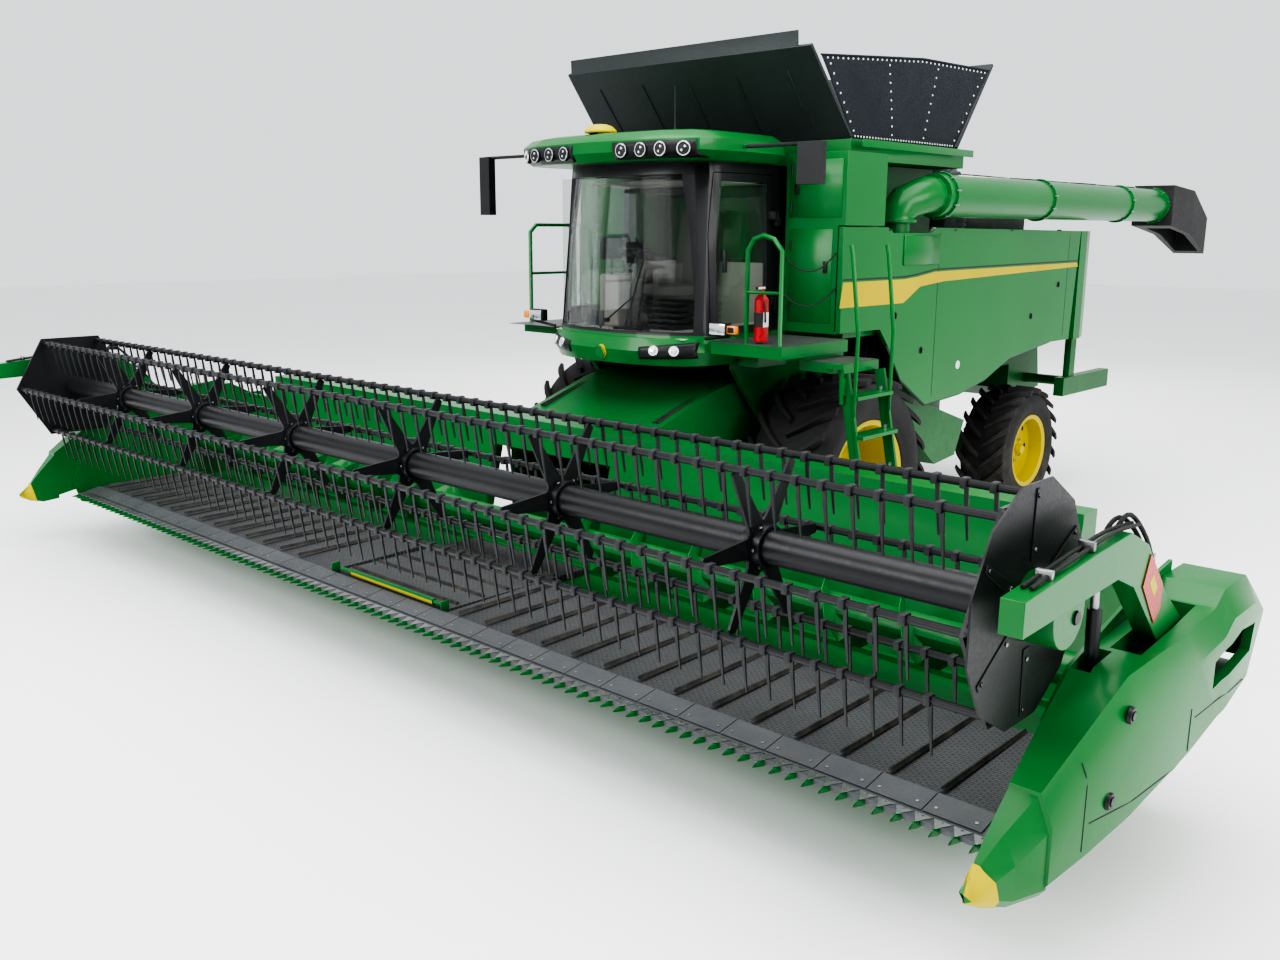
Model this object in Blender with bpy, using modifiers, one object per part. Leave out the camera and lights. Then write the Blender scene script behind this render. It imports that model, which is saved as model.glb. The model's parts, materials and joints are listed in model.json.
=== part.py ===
"""Combine harvester with a draper header, as separate named pieces.

Frame: +X is the machine's left, -Y its front, +Z up, in metres. The origin is on the ground,
under the middle of the bounding box. Header places are given ahead of or behind the knife line
with h(), and machine places with m(), which counts from the front axle."""

import math
from math import cos, pi, radians, sin

import bmesh
import bpy
from mathutils import Matrix, Vector

# Clearances
FIT = 0.0003            # between pieces that touch
RUN = 0.0005            # between a pin and its bore
BORE_SIDES = 24

# Overall
AXLE_Y = -1.73          # front axle
HEADER_REACH = 4.2      # knife line ahead of the front axle
WHEELBASE = 3.81
KNIFE_Z = 0.503         # the header is carried raised

# Wheels
FRONT_TYRE_R = 0.985
FRONT_TYRE_W = 0.75
FRONT_RIM_R = 0.56
FRONT_TRACK = 1.395     # wheel centre from the middle
REAR_TYRE_R = 0.735
REAR_TYRE_W = 0.58
REAR_RIM_R = 0.395
REAR_TRACK = 1.25
KING_PIN_X = 0.80
TYRE_SIDES = 32
BEAD_SHARE = 0.80       # bead seat's share of the tyre width
FRONT_HUB_R = 0.09
REAR_HUB_R = 0.06

# Body
BODY_HALF = 1.50        # tank and engine bay
PANEL_OUT = 1.60        # outer face of the side panels
PANEL_WALL = 0.05
FRAME_HALF = 0.80       # separator body
SILL_Z = 2.28           # top of the separator body
TANK_RIM_Z = 3.97
TANK_FRONT = -0.15
TANK_REAR = 1.85
TANK_WALL = 0.07
DECK_Z = 3.18           # engine deck
REAR_FACE = 5.40

# Tank covers
COVER_WALL = 0.03
COVER_HINGE_Z = TANK_RIM_Z + 0.02
FRONT_COVER_Y = -0.07
FRONT_COVER_LENGTH = 0.90
FRONT_COVER_TILT = 130.3
REAR_COVER_Y = 1.78
REAR_COVER_LENGTH = 1.10
REAR_COVER_TILT = 49.8

# Cab
CAB_FLOOR_Z = 2.22
CAB_TOP_Z = 3.76
CAB_WALL = 0.06
CAB_REAR = -0.20
CAB_SIDE_START = -0.95
CAB_HALF = 0.93
CAB_NOSE = 0.65         # how far the front bows out ahead of the straight sides
CAB_TOP_HALF = 0.88
CAB_TOP_NOSE = 0.46
ROOF_Z = 4.00
DOOR_FRONT = -1.22
DOOR_REAR = -0.42
DOOR_GAP = 0.006
DOOR_HINGE_X = 0.955

# Unloading auger
SWING_X = 1.42
SWING_Y = 0.80
AUGER_X = 1.60
AUGER_Z = 3.53
AUGER_R = 0.20
AUGER_END = 6.75
SPOUT_END = 8.28

# Feeder house
FEEDER_HALF = 0.80
FEEDER_WALL = 0.06
PIVOT_Y = -0.10
PIVOT_Z = 1.62
PIVOT_R = 0.05
FEEDER_BACK_R = 0.40
FACE_GAP = 0.01         # between the feeder house and the header
TILT_Z = 1.49
TILT_R = 0.04

# Lift cylinders
LIFT_X = 0.55
LIFT_BASE = (-0.24, 0.74)
LIFT_EYE = (-1.40, 0.62)
LIFT_SHAFT_R = 0.03
LIFT_BARREL_R = 0.055
LIFT_ROD_R = 0.03
LIFT_SLACK = 0.03       # room round the open eye

# Header
HEADER_HALF = 5.16      # inner faces of the end sheets
SHEET = 0.02
BACK_Y = 2.18           # rear face of the top beam
BEAM_Z = 1.60
CENTRE_HALF = 0.72
BELT_FRONT = 0.22
BELT_REAR = 1.16
BELT_Z = 0.03           # belt top above the knife
CROSS_Y = 1.43
CROSS_Z = 0.86
CROSS_TUBE_R = 0.10
CROSS_R = 0.225
CROSS_PITCH = 0.55
NOTCH_X = 4.55          # the top beam stops here
NOTCH_Z = 1.36

# Reel
REEL_Z = 1.654
REEL_TUBE_R = 0.09
REEL_SHAFT_R = 0.03
REEL_LEFT = 5.09        # middle of the left end plate
REEL_RIGHT = 4.98
SPIDER_SPACING = 1.48
BAT_COUNT = 6
BAT_RADIUS = 0.50
BAT_R = 0.02
PLATE_R = 0.55
CRANK = (-0.07, 0.035)  # from a bat to its crank pin
CRANK_PIN_R = 0.012
DISC_R = 0.545
DISC_X = 5.138
DISC_WALL = 0.010
HUB_R = 0.155
ARM_IN = 5.27
ARM_OUT = 5.37
ARM_PIVOT = (1.12, 1.29)
ARM_PIN_R = 0.03
RAM_X = 5.225
RAM_BASE = (0.48, 1.10)
RAM_EYE = (0.44, 1.76)
RAM_PIN_R = 0.015
RAM_R = 0.032
RAM_ROD_R = 0.02
RAM_SLACK = 0.02

GREEN = (0.02, 0.26, 0.06)
YELLOW = (0.85, 0.68, 0.02)
BLACK = (0.015, 0.015, 0.018)
GREY = (0.09, 0.10, 0.10)
STEEL = (0.45, 0.45, 0.45)


def m(y):
    return AXLE_Y + y


def h(y):
    return AXLE_Y - HEADER_REACH + y


# ---------------------------------------------------------------- scene and helpers

for old in list(bpy.data.objects):
    bpy.data.objects.remove(old)

MODEL = bpy.data.collections.new("combine_harvester")
CUTTERS = bpy.data.collections.new("cutters")
for made in (MODEL, CUTTERS):
    bpy.context.scene.collection.children.link(made)


def material(name, colour, roughness, metallic=0.0, alpha=1.0):
    made = bpy.data.materials.new(name)
    made.use_nodes = True
    shader = made.node_tree.nodes["Principled BSDF"]
    shader.inputs["Base Color"].default_value = (*colour, 1.0)
    shader.inputs["Roughness"].default_value = roughness
    shader.inputs["Metallic"].default_value = metallic
    shader.inputs["Alpha"].default_value = alpha
    return made


PAINT = material("green_paint", GREEN, 0.3)
RIM_PAINT = material("yellow_paint", YELLOW, 0.35)
DARK_PAINT = material("black_paint", BLACK, 0.4)
PANEL_GREY = material("grey_panel", GREY, 0.5)
TARP = material("tarpaulin", (0.01, 0.015, 0.03), 0.5)
TYRE = material("tyre_rubber", (0.03, 0.03, 0.032), 0.8)
BELT = material("belt_rubber", (0.05, 0.05, 0.05), 0.7)
RUBBER = material("spout_rubber", BLACK, 0.7)
GLASS = material("tinted_glass", (0.10, 0.11, 0.09), 0.05, 0.0, 0.4)
SEAT_CLOTH = material("seat_cloth", (0.10, 0.10, 0.09), 0.9)
BARE_STEEL = material("bare_steel", STEEL, 0.35, 1.0)
ENGINE_GREY = material("engine_grey", GREY, 0.6, 0.3)


def helper(mesh):
    """A shape that is joined to others or cut from them, kept out of the render."""
    obj = bpy.data.objects.new("shape", mesh)
    CUTTERS.objects.link(obj)
    obj.hide_render = True
    obj.display_type = "WIRE"
    return obj


def outward(mesh, merge=0.00001, triangles=False):
    work = bmesh.new()
    work.from_mesh(mesh)
    if triangles:
        bmesh.ops.triangulate(work, faces=work.faces)
    bmesh.ops.remove_doubles(work, verts=work.verts, dist=merge)
    bmesh.ops.recalc_face_normals(work, faces=work.faces)
    if work.calc_volume(signed=True) < 0:
        bmesh.ops.reverse_faces(work, faces=work.faces)
    work.to_mesh(mesh)
    work.free()


def as_mesh(obj):
    """Turns a curve or a shape with modifiers into a plain welded mesh shape."""
    graph = bpy.context.evaluated_depsgraph_get()
    graph.update()
    mesh = bpy.data.meshes.new_from_object(obj.evaluated_get(graph))
    mesh.transform(obj.matrix_world)
    bpy.data.objects.remove(obj)
    outward(mesh)
    return helper(mesh)


def block(low, high):
    work = bmesh.new()
    size = Vector(high) - Vector(low)
    middle = (Vector(high) + Vector(low)) / 2
    bmesh.ops.create_cube(work, size=1.0, matrix=Matrix.Translation(middle) @ Matrix.Diagonal((*size, 1.0)))
    mesh = bpy.data.meshes.new("block")
    work.to_mesh(mesh)
    work.free()
    return helper(mesh)


def along(start, end):
    """The matrix whose Z axis runs from start to end, centred between them."""
    run = Vector(end) - Vector(start)
    turn = run.to_track_quat("Z", "Y").to_matrix().to_4x4()
    return Matrix.Translation((Vector(end) + Vector(start)) / 2) @ turn


def rod(start, end, radius, sides=16, end_radius=None):
    work = bmesh.new()
    length = (Vector(end) - Vector(start)).length
    far = radius if end_radius is None else end_radius
    bmesh.ops.create_cone(work, cap_ends=True, segments=sides, radius1=radius, radius2=far,
                          depth=length, matrix=along(start, end))
    mesh = bpy.data.meshes.new("rod")
    work.to_mesh(mesh)
    work.free()
    return helper(mesh)


def bore(start, end, radius, gap=RUN):
    """A round cutter whose flats clear a pin of this radius by the gap."""
    return rod(start, end, (radius + gap) / cos(pi / BORE_SIDES), BORE_SIDES)


def bar(start, end, width, height):
    """A rectangular bar; width runs across X where it can."""
    work = bmesh.new()
    length = (Vector(end) - Vector(start)).length
    matrix = along(start, end) @ Matrix.Diagonal((width, height, length, 1.0))
    bmesh.ops.create_cube(work, size=1.0, matrix=matrix)
    mesh = bpy.data.meshes.new("bar")
    work.to_mesh(mesh)
    work.free()
    return helper(mesh)


def flat(outline, thickness, matrix):
    """A flat outline given its thickness, centred on its own plane, then placed by matrix."""
    curve = bpy.data.curves.new("outline", "CURVE")
    curve.dimensions = "2D"
    curve.fill_mode = "BOTH"
    curve.extrude = thickness / 2
    spline = curve.splines.new("POLY")
    spline.points.add(len(outline) - 1)
    for point, (u, v) in zip(spline.points, outline):
        point.co = (u, v, 0.0, 1.0)
    spline.use_cyclic_u = True
    obj = helper(curve)
    obj.matrix_world = matrix
    bpy.context.view_layer.update()
    return as_mesh(obj)


SIDEWAYS = Matrix(((0, 0, 1, 0), (1, 0, 0, 0), (0, 1, 0, 0), (0, 0, 0, 1)))
FACING = Matrix(((1, 0, 0, 0), (0, 0, -1, 0), (0, 1, 0, 0), (0, 0, 0, 1)))


def prism_x(outline, low, high):
    """An outline of (y, z) points, from x = low to x = high."""
    return flat(outline, high - low, Matrix.Translation(((low + high) / 2, 0, 0)) @ SIDEWAYS)


def prism_y(outline, low, high):
    """An outline of (x, z) points, from y = low to y = high."""
    return flat(outline, high - low, Matrix.Translation((0, (low + high) / 2, 0)) @ FACING)


def prism_z(outline, low, high):
    """An outline of (x, y) points, from z = low to z = high."""
    return flat(outline, high - low, Matrix.Translation((0, 0, (low + high) / 2)))


def pipe(points, radius, resolution=2, closed=False):
    curve = bpy.data.curves.new("pipe", "CURVE")
    curve.dimensions = "3D"
    curve.bevel_depth = radius
    curve.bevel_resolution = resolution
    curve.use_fill_caps = True
    spline = curve.splines.new("POLY")
    spline.points.add(len(points) - 1)
    for point, place in zip(spline.points, points):
        point.co = (*place, 1.0)
    spline.use_cyclic_u = closed
    shape = as_mesh(helper(curve))
    outward(shape.data, triangles=True)
    return shape


def turned(profile, centre, sides, offset_turn=0.0):
    """A profile of (x, radius) points turned about the X axis through centre."""
    mesh = bpy.data.meshes.new("turned")
    points = [(radius, 0.0, x) for x, radius in profile]
    edges = [(i, i + 1) for i in range(len(points) - 1)]
    if profile[0][1] > 0.001:
        edges.append((len(points) - 1, 0))
    mesh.from_pydata(points, edges, [])
    obj = helper(mesh)
    screw = obj.modifiers.new("turn", "SCREW")
    screw.steps = sides
    screw.render_steps = sides
    screw.use_merge_vertices = True
    screw.merge_threshold = 0.0001
    turn = Matrix.Rotation(offset_turn, 4, "X")
    obj.matrix_world = Matrix.Translation(centre) @ turn @ Matrix.Rotation(pi / 2, 4, "Y")
    bpy.context.view_layer.update()
    return as_mesh(obj)


def loft(sections):
    """A closed solid through sections of equal point counts."""
    work = bmesh.new()
    rings = [[work.verts.new(place) for place in section] for section in sections]
    count = len(rings[0])
    for near, far in zip(rings, rings[1:]):
        for i in range(count):
            j = (i + 1) % count
            work.faces.new((near[i], near[j], far[j], far[i]))
    work.faces.new(rings[0])
    work.faces.new(rings[-1])
    bmesh.ops.triangulate(work, faces=work.faces)
    mesh = bpy.data.meshes.new("loft")
    work.to_mesh(mesh)
    work.free()
    outward(mesh)
    return helper(mesh)


def mirrored(obj):
    """A copy of a shape on the other side of the machine."""
    mesh = obj.data.copy()
    mesh.transform(Matrix.Diagonal((-1.0, 1.0, 1.0, 1.0)))
    outward(mesh)
    return helper(mesh)


def both(obj):
    return [obj, mirrored(obj)]


def combine(pieces, cuts=(), common=None):
    """One shape from several: pieces joined, then cut, or kept only inside the common shape."""
    base = pieces[0]
    steps = [(tool, "UNION") for tool in pieces[1:]] + [(tool, "DIFFERENCE") for tool in cuts]
    if common:
        steps.append((common, "INTERSECT"))
    for tool, operation in steps:
        boolean = base.modifiers.new("boolean", "BOOLEAN")
        boolean.operation = operation
        boolean.solver = "EXACT"
        boolean.object = tool
    result = as_mesh(base)
    for tool, _ in steps:
        bpy.data.objects.remove(tool)
    return result


def finish(name, pieces, surface, cuts=(), common=None, pivot=None, smooth=32):
    """The named object: its shapes combined, shaded and hung on its joint's empty."""
    shape = combine(pieces, cuts, common)
    mesh = shape.data.copy()
    bpy.data.objects.remove(shape)
    mesh.name = name
    mesh.shade_smooth()
    mesh.set_sharp_from_angle(angle=radians(smooth))
    mesh.materials.clear()
    mesh.materials.append(surface)
    obj = bpy.data.objects.new(name, mesh)
    MODEL.objects.link(obj)
    if pivot:
        obj.parent = pivot
        obj.matrix_parent_inverse = pivot.matrix_world.inverted()
    return obj


def joint(name, place, parent=None):
    """An empty on a joint's axis, which the moving pieces hang on."""
    empty = bpy.data.objects.new(name, None)
    MODEL.objects.link(empty)
    empty.location = place
    bpy.context.view_layer.update()
    if parent:
        empty.parent = parent
        empty.matrix_parent_inverse = parent.matrix_world.inverted()
    bpy.context.view_layer.update()
    return empty


def circle(radius, count, centre=(0.0, 0.0), start=0.0):
    steps = (start + 2 * pi * i / count for i in range(count))
    return [(centre[0] + radius * cos(t), centre[1] + radius * sin(t)) for t in steps]


# ---------------------------------------------------------------- frame and axles

def main_frame():
    body = prism_x([(m(0.36), 1.25), (m(1.2), 1.0), (m(2.5), 1.05), (m(2.9), 1.60), (m(4.7), 1.60),
                    (m(4.7), SILL_Z), (m(0.36), SILL_Z)], -FRAME_HALF, FRAME_HALF)
    plate_low = FRONT_TYRE_R + 0.13 + FIT
    plate = prism_x([(m(-0.70), 1.75), (m(-0.40), 1.40), (m(-0.25), plate_low), (m(0.25), plate_low),
                     (m(0.9), 1.20), (m(0.9), CAB_FLOOR_Z - FIT), (m(-0.93), CAB_FLOOR_Z - FIT),
                     (m(-0.93), 2.02)], 0.86, 0.92)
    web = block((FRAME_HALF - 0.1, m(0.40), 1.35), (0.90, m(0.80), 2.20))
    shoe = prism_x([(m(0.95), 1.45), (m(1.74), 0.87), (m(2.16), 0.91), (m(2.33), 1.26), (m(1.57), 1.50),
                    (m(1.45), 2.20), (m(1.10), 2.20)], 1.20, 1.44)
    links = [rod((0.6, m(1.6), 1.22), (1.3, m(1.6), 1.22), 0.07),
             rod((0.6, m(1.25), 2.0), (1.3, m(1.25), 2.0), 0.07)]
    cross = block((-0.90, m(0.36), 1.95), (0.90, m(0.60), 2.20))
    bracket = block((-0.25, m(WHEELBASE - 0.2), REAR_TYRE_R + 0.10 + FIT), (0.25, m(WHEELBASE + 0.2), 1.70))
    pieces = [body, web, mirrored(web), cross, bracket] + both(plate)
    for shape in [shoe] + links:
        pieces += both(shape)
    hole = bore((-1.0, m(PIVOT_Y), PIVOT_Z), (1.0, m(PIVOT_Y), PIVOT_Z), PIVOT_R)
    finish("main_frame", pieces, PAINT, cuts=[hole])


def front_axle():
    z = FRONT_TYRE_R
    beam = rod((-1.0, m(0), z), (1.0, m(0), z), 0.13, 24)
    gearbox = block((-0.25, m(-0.16), 0.72), (0.25, m(0.30), 1.08))
    pieces = [beam, gearbox]
    pieces += both(rod((0.94, m(0), z), (1.06, m(0), z), 0.26, 16))
    pieces += both(rod((1.0, m(0), z), (1.30, m(0), z), FRONT_HUB_R, 24))
    base_y, base_z = m(LIFT_BASE[0]), LIFT_BASE[1]
    lug = prism_x([(m(0.0), z), (m(-0.05), z - 0.10), (base_y - 0.06, base_z - 0.05),
                   (base_y - 0.06, base_z + 0.06), (m(-0.1), z + 0.05)], 0.40, 0.44)
    pieces += both(lug)
    hole = bore((-1, base_y, base_z), (1, base_y, base_z), LIFT_SHAFT_R)
    finish("front_axle", pieces, PAINT, cuts=[hole])


def rear_axle():
    y, z = m(WHEELBASE), REAR_TYRE_R
    beam = block((-0.76, y - 0.10, z - 0.10), (0.76, y + 0.10, z + 0.10))
    pieces = [beam] + both(rod((KING_PIN_X, y, z - 0.14), (KING_PIN_X, y, z + 0.14), 0.075, 20))
    ram = rod((-0.35, y + 0.16, z), (0.35, y + 0.16, z), 0.05)
    stays = both(block((0.22, y + 0.05, z - 0.04), (0.28, y + 0.16, z + 0.04)))
    finish("rear_axle", pieces + [ram] + stays, PAINT)


def tyre(name, centre, radius, width, rim_radius, pivot):
    """A tyre with one flat side of its polygon on the ground."""
    crown = radius / cos(pi / TYRE_SIDES)
    half = width / 2
    bead = rim_radius + FIT
    profile = [(-half * BEAD_SHARE, bead), (-half * 0.98, bead + (crown - bead) * 0.25), (-half, bead + (crown - bead) * 0.6),
               (-half * 0.93, crown - 0.07), (-half * 0.75, crown - 0.02), (-half * 0.4, crown), (half * 0.4, crown),
               (half * 0.75, crown - 0.02), (half * 0.93, crown - 0.07), (half, bead + (crown - bead) * 0.6),
               (half * 0.98, bead + (crown - bead) * 0.25), (half * BEAD_SHARE, bead)]
    shape = turned(profile, centre, TYRE_SIDES, pi / 2 + pi / TYRE_SIDES)
    finish(name, [shape], TYRE, pivot=pivot)


def rim(name, centre, radius, width, disc_at, hub, pivot):
    """A wheel rim in one turned section: lips, barrel and a dished disc bored for the hub."""
    half = width / 2 * BEAD_SHARE
    inner = radius - 0.03
    near, far = disc_at - 0.012, disc_at + 0.012
    profile = [(half + 0.02, inner), (half + 0.036, radius + 0.02), (half + 0.016, radius + 0.02), (half, radius),
               (-half, radius), (-half - 0.016, radius + 0.02), (-half - 0.036, radius + 0.02),
               (-half - 0.02, inner), (near, inner), (near, hub * 2.2), (near + 0.05, hub),
               (far + 0.05, hub), (far, hub * 2.2), (far, inner)]
    shape = turned(profile, (abs(centre[0]), centre[1], centre[2]), TYRE_SIDES, pi / TYRE_SIDES)
    if centre[0] < 0:
        shape = mirrored(shape)
    finish(name, [shape], RIM_PAINT, pivot=pivot)


def wheels():
    for side, word in ((1, "left"), (-1, "right")):
        centre = (side * FRONT_TRACK, m(0), FRONT_TYRE_R)
        spin = joint(f"front_wheel_{word}_axis", centre)
        tyre(f"front_tyre_{word}", centre, FRONT_TYRE_R, FRONT_TYRE_W, FRONT_RIM_R, spin)
        rim(f"front_rim_{word}", centre, FRONT_RIM_R, FRONT_TYRE_W, -0.15, FRONT_HUB_R + RUN, spin)
        y, z = m(WHEELBASE), REAR_TYRE_R
        steer = joint(f"steer_{word}_axis", (side * KING_PIN_X, y, z))
        ear = block((KING_PIN_X - 0.08, y - 0.07, z + 0.141), (KING_PIN_X + 0.14, y + 0.07, z + 0.18))
        low_ear = block((KING_PIN_X - 0.08, y - 0.07, z - 0.18), (KING_PIN_X + 0.14, y + 0.07, z - 0.141))
        web = block((KING_PIN_X + 0.09, y - 0.07, z - 0.17), (KING_PIN_X + 0.14, y + 0.07, z + 0.17))
        stub = rod((KING_PIN_X + 0.1, y, z), (REAR_TRACK + 0.12, y, z), REAR_HUB_R, 24)
        knuckle = combine([web, ear, low_ear, stub])
        if side < 0:
            knuckle = mirrored(knuckle)
        finish(f"steering_knuckle_{word}", [knuckle], PAINT, pivot=steer)
        centre = (side * REAR_TRACK, y, z)
        spin = joint(f"rear_wheel_{word}_axis", centre, steer)
        tyre(f"rear_tyre_{word}", centre, REAR_TYRE_R, REAR_TYRE_W, REAR_RIM_R, spin)
        rim(f"rear_rim_{word}", centre, REAR_RIM_R, REAR_TYRE_W, 0.06, REAR_HUB_R + RUN, spin)


# ---------------------------------------------------------------- tank, engine bay and panels

def grain_tank():
    outer = block((-BODY_HALF, m(TANK_FRONT), SILL_Z + FIT), (BODY_HALF, m(TANK_REAR), TANK_RIM_Z))
    bulkhead = block((0.98, m(-0.33), SILL_Z + 0.05), (BODY_HALF + 0.03, m(0.0), 3.30))
    locker = block((0.98, m(-0.33), 3.25), (PANEL_OUT, m(0.30), 3.86))
    stub = rod((SWING_X, m(SWING_Y), 2.9), (SWING_X, m(SWING_Y), 3.28), 0.12, 24)
    inner_x = BODY_HALF - TANK_WALL
    inner = (m(TANK_FRONT + TANK_WALL), m(TANK_REAR - TANK_WALL))
    cavity = block((-inner_x, inner[0], 2.80), (1.10, inner[1], 4.2))
    shelf = block((1.0, inner[0], 3.87), (inner_x, inner[1], 4.2))
    hopper = prism_y([(-inner_x, 2.81), (-0.25, 2.36), (0.25, 2.36), (1.10, 2.81)], inner[0], inner[1])
    recess = block((1.17, m(0.32), 3.12), (2.0, m(TANK_REAR + 0.2), 3.80))
    body = combine([outer] + both(bulkhead) + both(locker), cuts=[recess, cavity, shelf, hopper])
    finish("grain_tank", [body, stub], PAINT)


def cover(name, hinge_y, length, tilt, lip, pivot):
    """A tank lid: a plate that starts at its hinge barrel and leans at tilt degrees from +Y."""
    hinge = Vector((0, m(hinge_y), COVER_HINGE_Z))
    frame = Matrix.Translation(hinge) @ Matrix.Rotation(radians(tilt), 4, "X")
    outline = [(-1.46, 0.0), (1.46, 0.0), (1.42, length), (-1.42, length)]
    lift = COVER_WALL / 2 - 0.015
    sheet = flat(outline, COVER_WALL, frame @ Matrix.Translation((0, 0, lift)))
    barrel = rod((-1.44, m(hinge_y), COVER_HINGE_Z), (1.44, m(hinge_y), COVER_HINGE_Z), 0.02 - FIT, 12)
    pieces = [sheet, barrel]
    if lip:
        edge = Matrix.Translation((0, length - 0.01, 0)) @ Matrix.Rotation(radians(-38), 4, "X")
        pieces.append(flat([(-1.38, 0.0), (1.28, 0.0), (1.28, 0.13), (-1.38, 0.13)], 0.02, frame @ edge))
    finish(name, pieces, PANEL_GREY, pivot=pivot)


def tank_covers():
    front = joint("front_cover_axis", (0, m(FRONT_COVER_Y), COVER_HINGE_Z))
    rear = joint("rear_cover_axis", (0, m(REAR_COVER_Y), COVER_HINGE_Z))
    cover("tank_cover_front", FRONT_COVER_Y, FRONT_COVER_LENGTH, FRONT_COVER_TILT, True, front)
    cover("tank_cover_rear", REAR_COVER_Y, REAR_COVER_LENGTH, REAR_COVER_TILT, False, rear)
    low = TANK_RIM_Z + FIT
    drop = 0.08
    for side, word in ((1, "left"), (-1, "right")):
        ends = []
        for hinge_y, length, tilt, step in ((FRONT_COVER_Y, FRONT_COVER_LENGTH, FRONT_COVER_TILT, 0.05),
                                            (REAR_COVER_Y, REAR_COVER_LENGTH, REAR_COVER_TILT, -0.05)):
            reach = length - drop
            ends.append((m(hinge_y) + step, low))
            ends.append((m(hinge_y) + step + reach * cos(radians(tilt)), COVER_HINGE_Z + reach * sin(radians(tilt))))
        outline = [ends[0], ends[2], ends[3], (m(1.1), ends[3][1] - 0.02), (m(0.3), ends[1][1] + 0.07), ends[1]]
        sheet = prism_x(outline, 1.43, 1.45)
        if side < 0:
            sheet = mirrored(sheet)
        finish(f"tank_tarp_{word}", [sheet], TARP)


def air_duct():
    route = [(-0.55, 2.75, DECK_Z - 0.02), (-0.55, 2.75, 3.62), (-0.40, 2.72, 3.78), (-0.1, 2.70, 3.83),
             (0.55, 2.68, 3.83), (0.80, 2.68, 3.78), (0.95, 2.70, 3.62), (0.95, 2.70, DECK_Z - 0.02)]
    return pipe([(x, m(y), z) for x, y, z in route], 0.14, 4)


def rear_hood():
    deck = block((-BODY_HALF, m(TANK_REAR + 0.01), DECK_Z - 0.06), (BODY_HALF, m(4.9), DECK_Z))
    corner = [(PANEL_OUT, m(4.585)), (PANEL_OUT, m(4.76)), (1.50, m(5.08)), (1.25, m(REAR_FACE))]
    outline = corner + [(-x, y) for x, y in reversed(corner)]
    inner = [(x - 0.06 if x > 1.3 else x - 0.03, min(y, m(REAR_FACE - 0.06))) for x, y in corner]
    inner[0] = (inner[0][0], m(4.4))
    hollow = inner + [(-x, y) for x, y in reversed(inner)]
    cowl = combine([prism_z(outline, 1.97, DECK_Z + 0.03)], cuts=[prism_z(hollow, 1.5, DECK_Z - 0.04)])
    walls = both(block((0.82, m(TANK_REAR + 0.01), SILL_Z + FIT), (0.88, m(5.3), DECK_Z - 0.03)))
    vent = block((-0.6, m(REAR_FACE - 0.2), 2.55), (0.6, m(REAR_FACE + 0.1), 3.0))
    finish("rear_hood", [deck, cowl, air_duct()] + walls, PAINT, cuts=[vent])


def engine():
    block_low = (-0.55, m(2.3), SILL_Z + 0.04)
    mass = block(block_low, (0.55, m(3.9), 3.00))
    feet = both(block((0.30, m(2.4), SILL_Z + FIT), (0.50, m(3.8), SILL_Z + 0.06)))
    finish("engine", [mass] + feet, ENGINE_GREY)


def straw_chopper():
    body = prism_x([(m(4.7) + FIT, 1.30), (m(5.0), 1.15), (m(5.6), 1.25), (m(5.45), 1.97 - FIT),
                    (m(4.7) + FIT, 1.97 - FIT)], -0.78, 0.78)
    arms = both(block((1.40, m(4.62), 1.28), (1.52, m(5.98), 1.50)))
    tie = rod((-1.46, m(5.15), 1.40), (1.46, m(5.15), 1.40), 0.06)
    hangers = both(block((1.42, m(4.80), 1.40), (1.50, m(4.95), 1.97 - FIT)))
    finish("straw_chopper", [body, tie] + arms + hangers, PAINT)


def side_panel(word, side):
    inner = PANEL_OUT - PANEL_WALL
    outline = [(-0.35, 3.24), (0.36, 3.24), (0.46, 3.19), (1.12, 3.19), (1.22, 3.24), (4.57, 3.21), (4.46, 1.98),
               (3.96, 1.98), (2.97, 1.88), (2.42, 1.69), (1.89, 1.60), (1.19, 1.565), (0.70, 1.85), (0.45, 2.18),
               (0.30, 2.34), (-0.35, 2.34)]
    shell = prism_x([(m(y), z) for y, z in outline], inner, PANEL_OUT)
    lugs = [block((BODY_HALF + FIT, m(y), 3.06), (inner + 0.01, m(y + 0.12), 3.11)) for y in (0.10, 1.60, 4.2)]
    shape = combine([shell] + lugs)
    if side < 0:
        shape = mirrored(shape)
    pivot = joint(f"side_panel_{word}_axis", (side * (PANEL_OUT - 0.01), m(2.0), 3.23))
    finish(f"side_panel_{word}", [shape], PAINT, pivot=pivot)


# ---------------------------------------------------------------- cab

def cab_outline(inset, level):
    """The cab's plan at a level from 0, the floor, to 1, the top: a bowed front and straight sides."""
    half = CAB_HALF + (CAB_TOP_HALF - CAB_HALF) * level - inset
    nose = CAB_NOSE + (CAB_TOP_NOSE - CAB_NOSE) * level - inset
    power = 2.6
    points = [(half, m(CAB_REAR) - inset), (half, m(CAB_SIDE_START))]
    steps = 16
    for i in range(1, steps):
        t = pi / 2 * (2 * i / steps - 1)
        x = -sin(t)
        bow = (1 - abs(x) ** power) ** (1 / power)
        points.append((half * x, m(CAB_SIDE_START) - nose * bow))
    return points + [(-half, m(CAB_SIDE_START)), (-half, m(CAB_REAR) - inset)]


def cab_loft(inset, low=CAB_FLOOR_Z, high=CAB_TOP_Z):
    sections = []
    for z in (low, high):
        level = (z - CAB_FLOOR_Z) / (CAB_TOP_Z - CAB_FLOOR_Z)
        sections.append([(x, y, z) for x, y in cab_outline(inset, level)])
    return loft(sections)


def cab_wall(inset, thickness):
    """The cab's outer skin with no floor or ceiling, for the panels and panes set in it."""
    return combine([cab_loft(inset)], cuts=[cab_loft(inset + thickness, CAB_FLOOR_Z - 0.1, CAB_TOP_Z + 0.1)])


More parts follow.
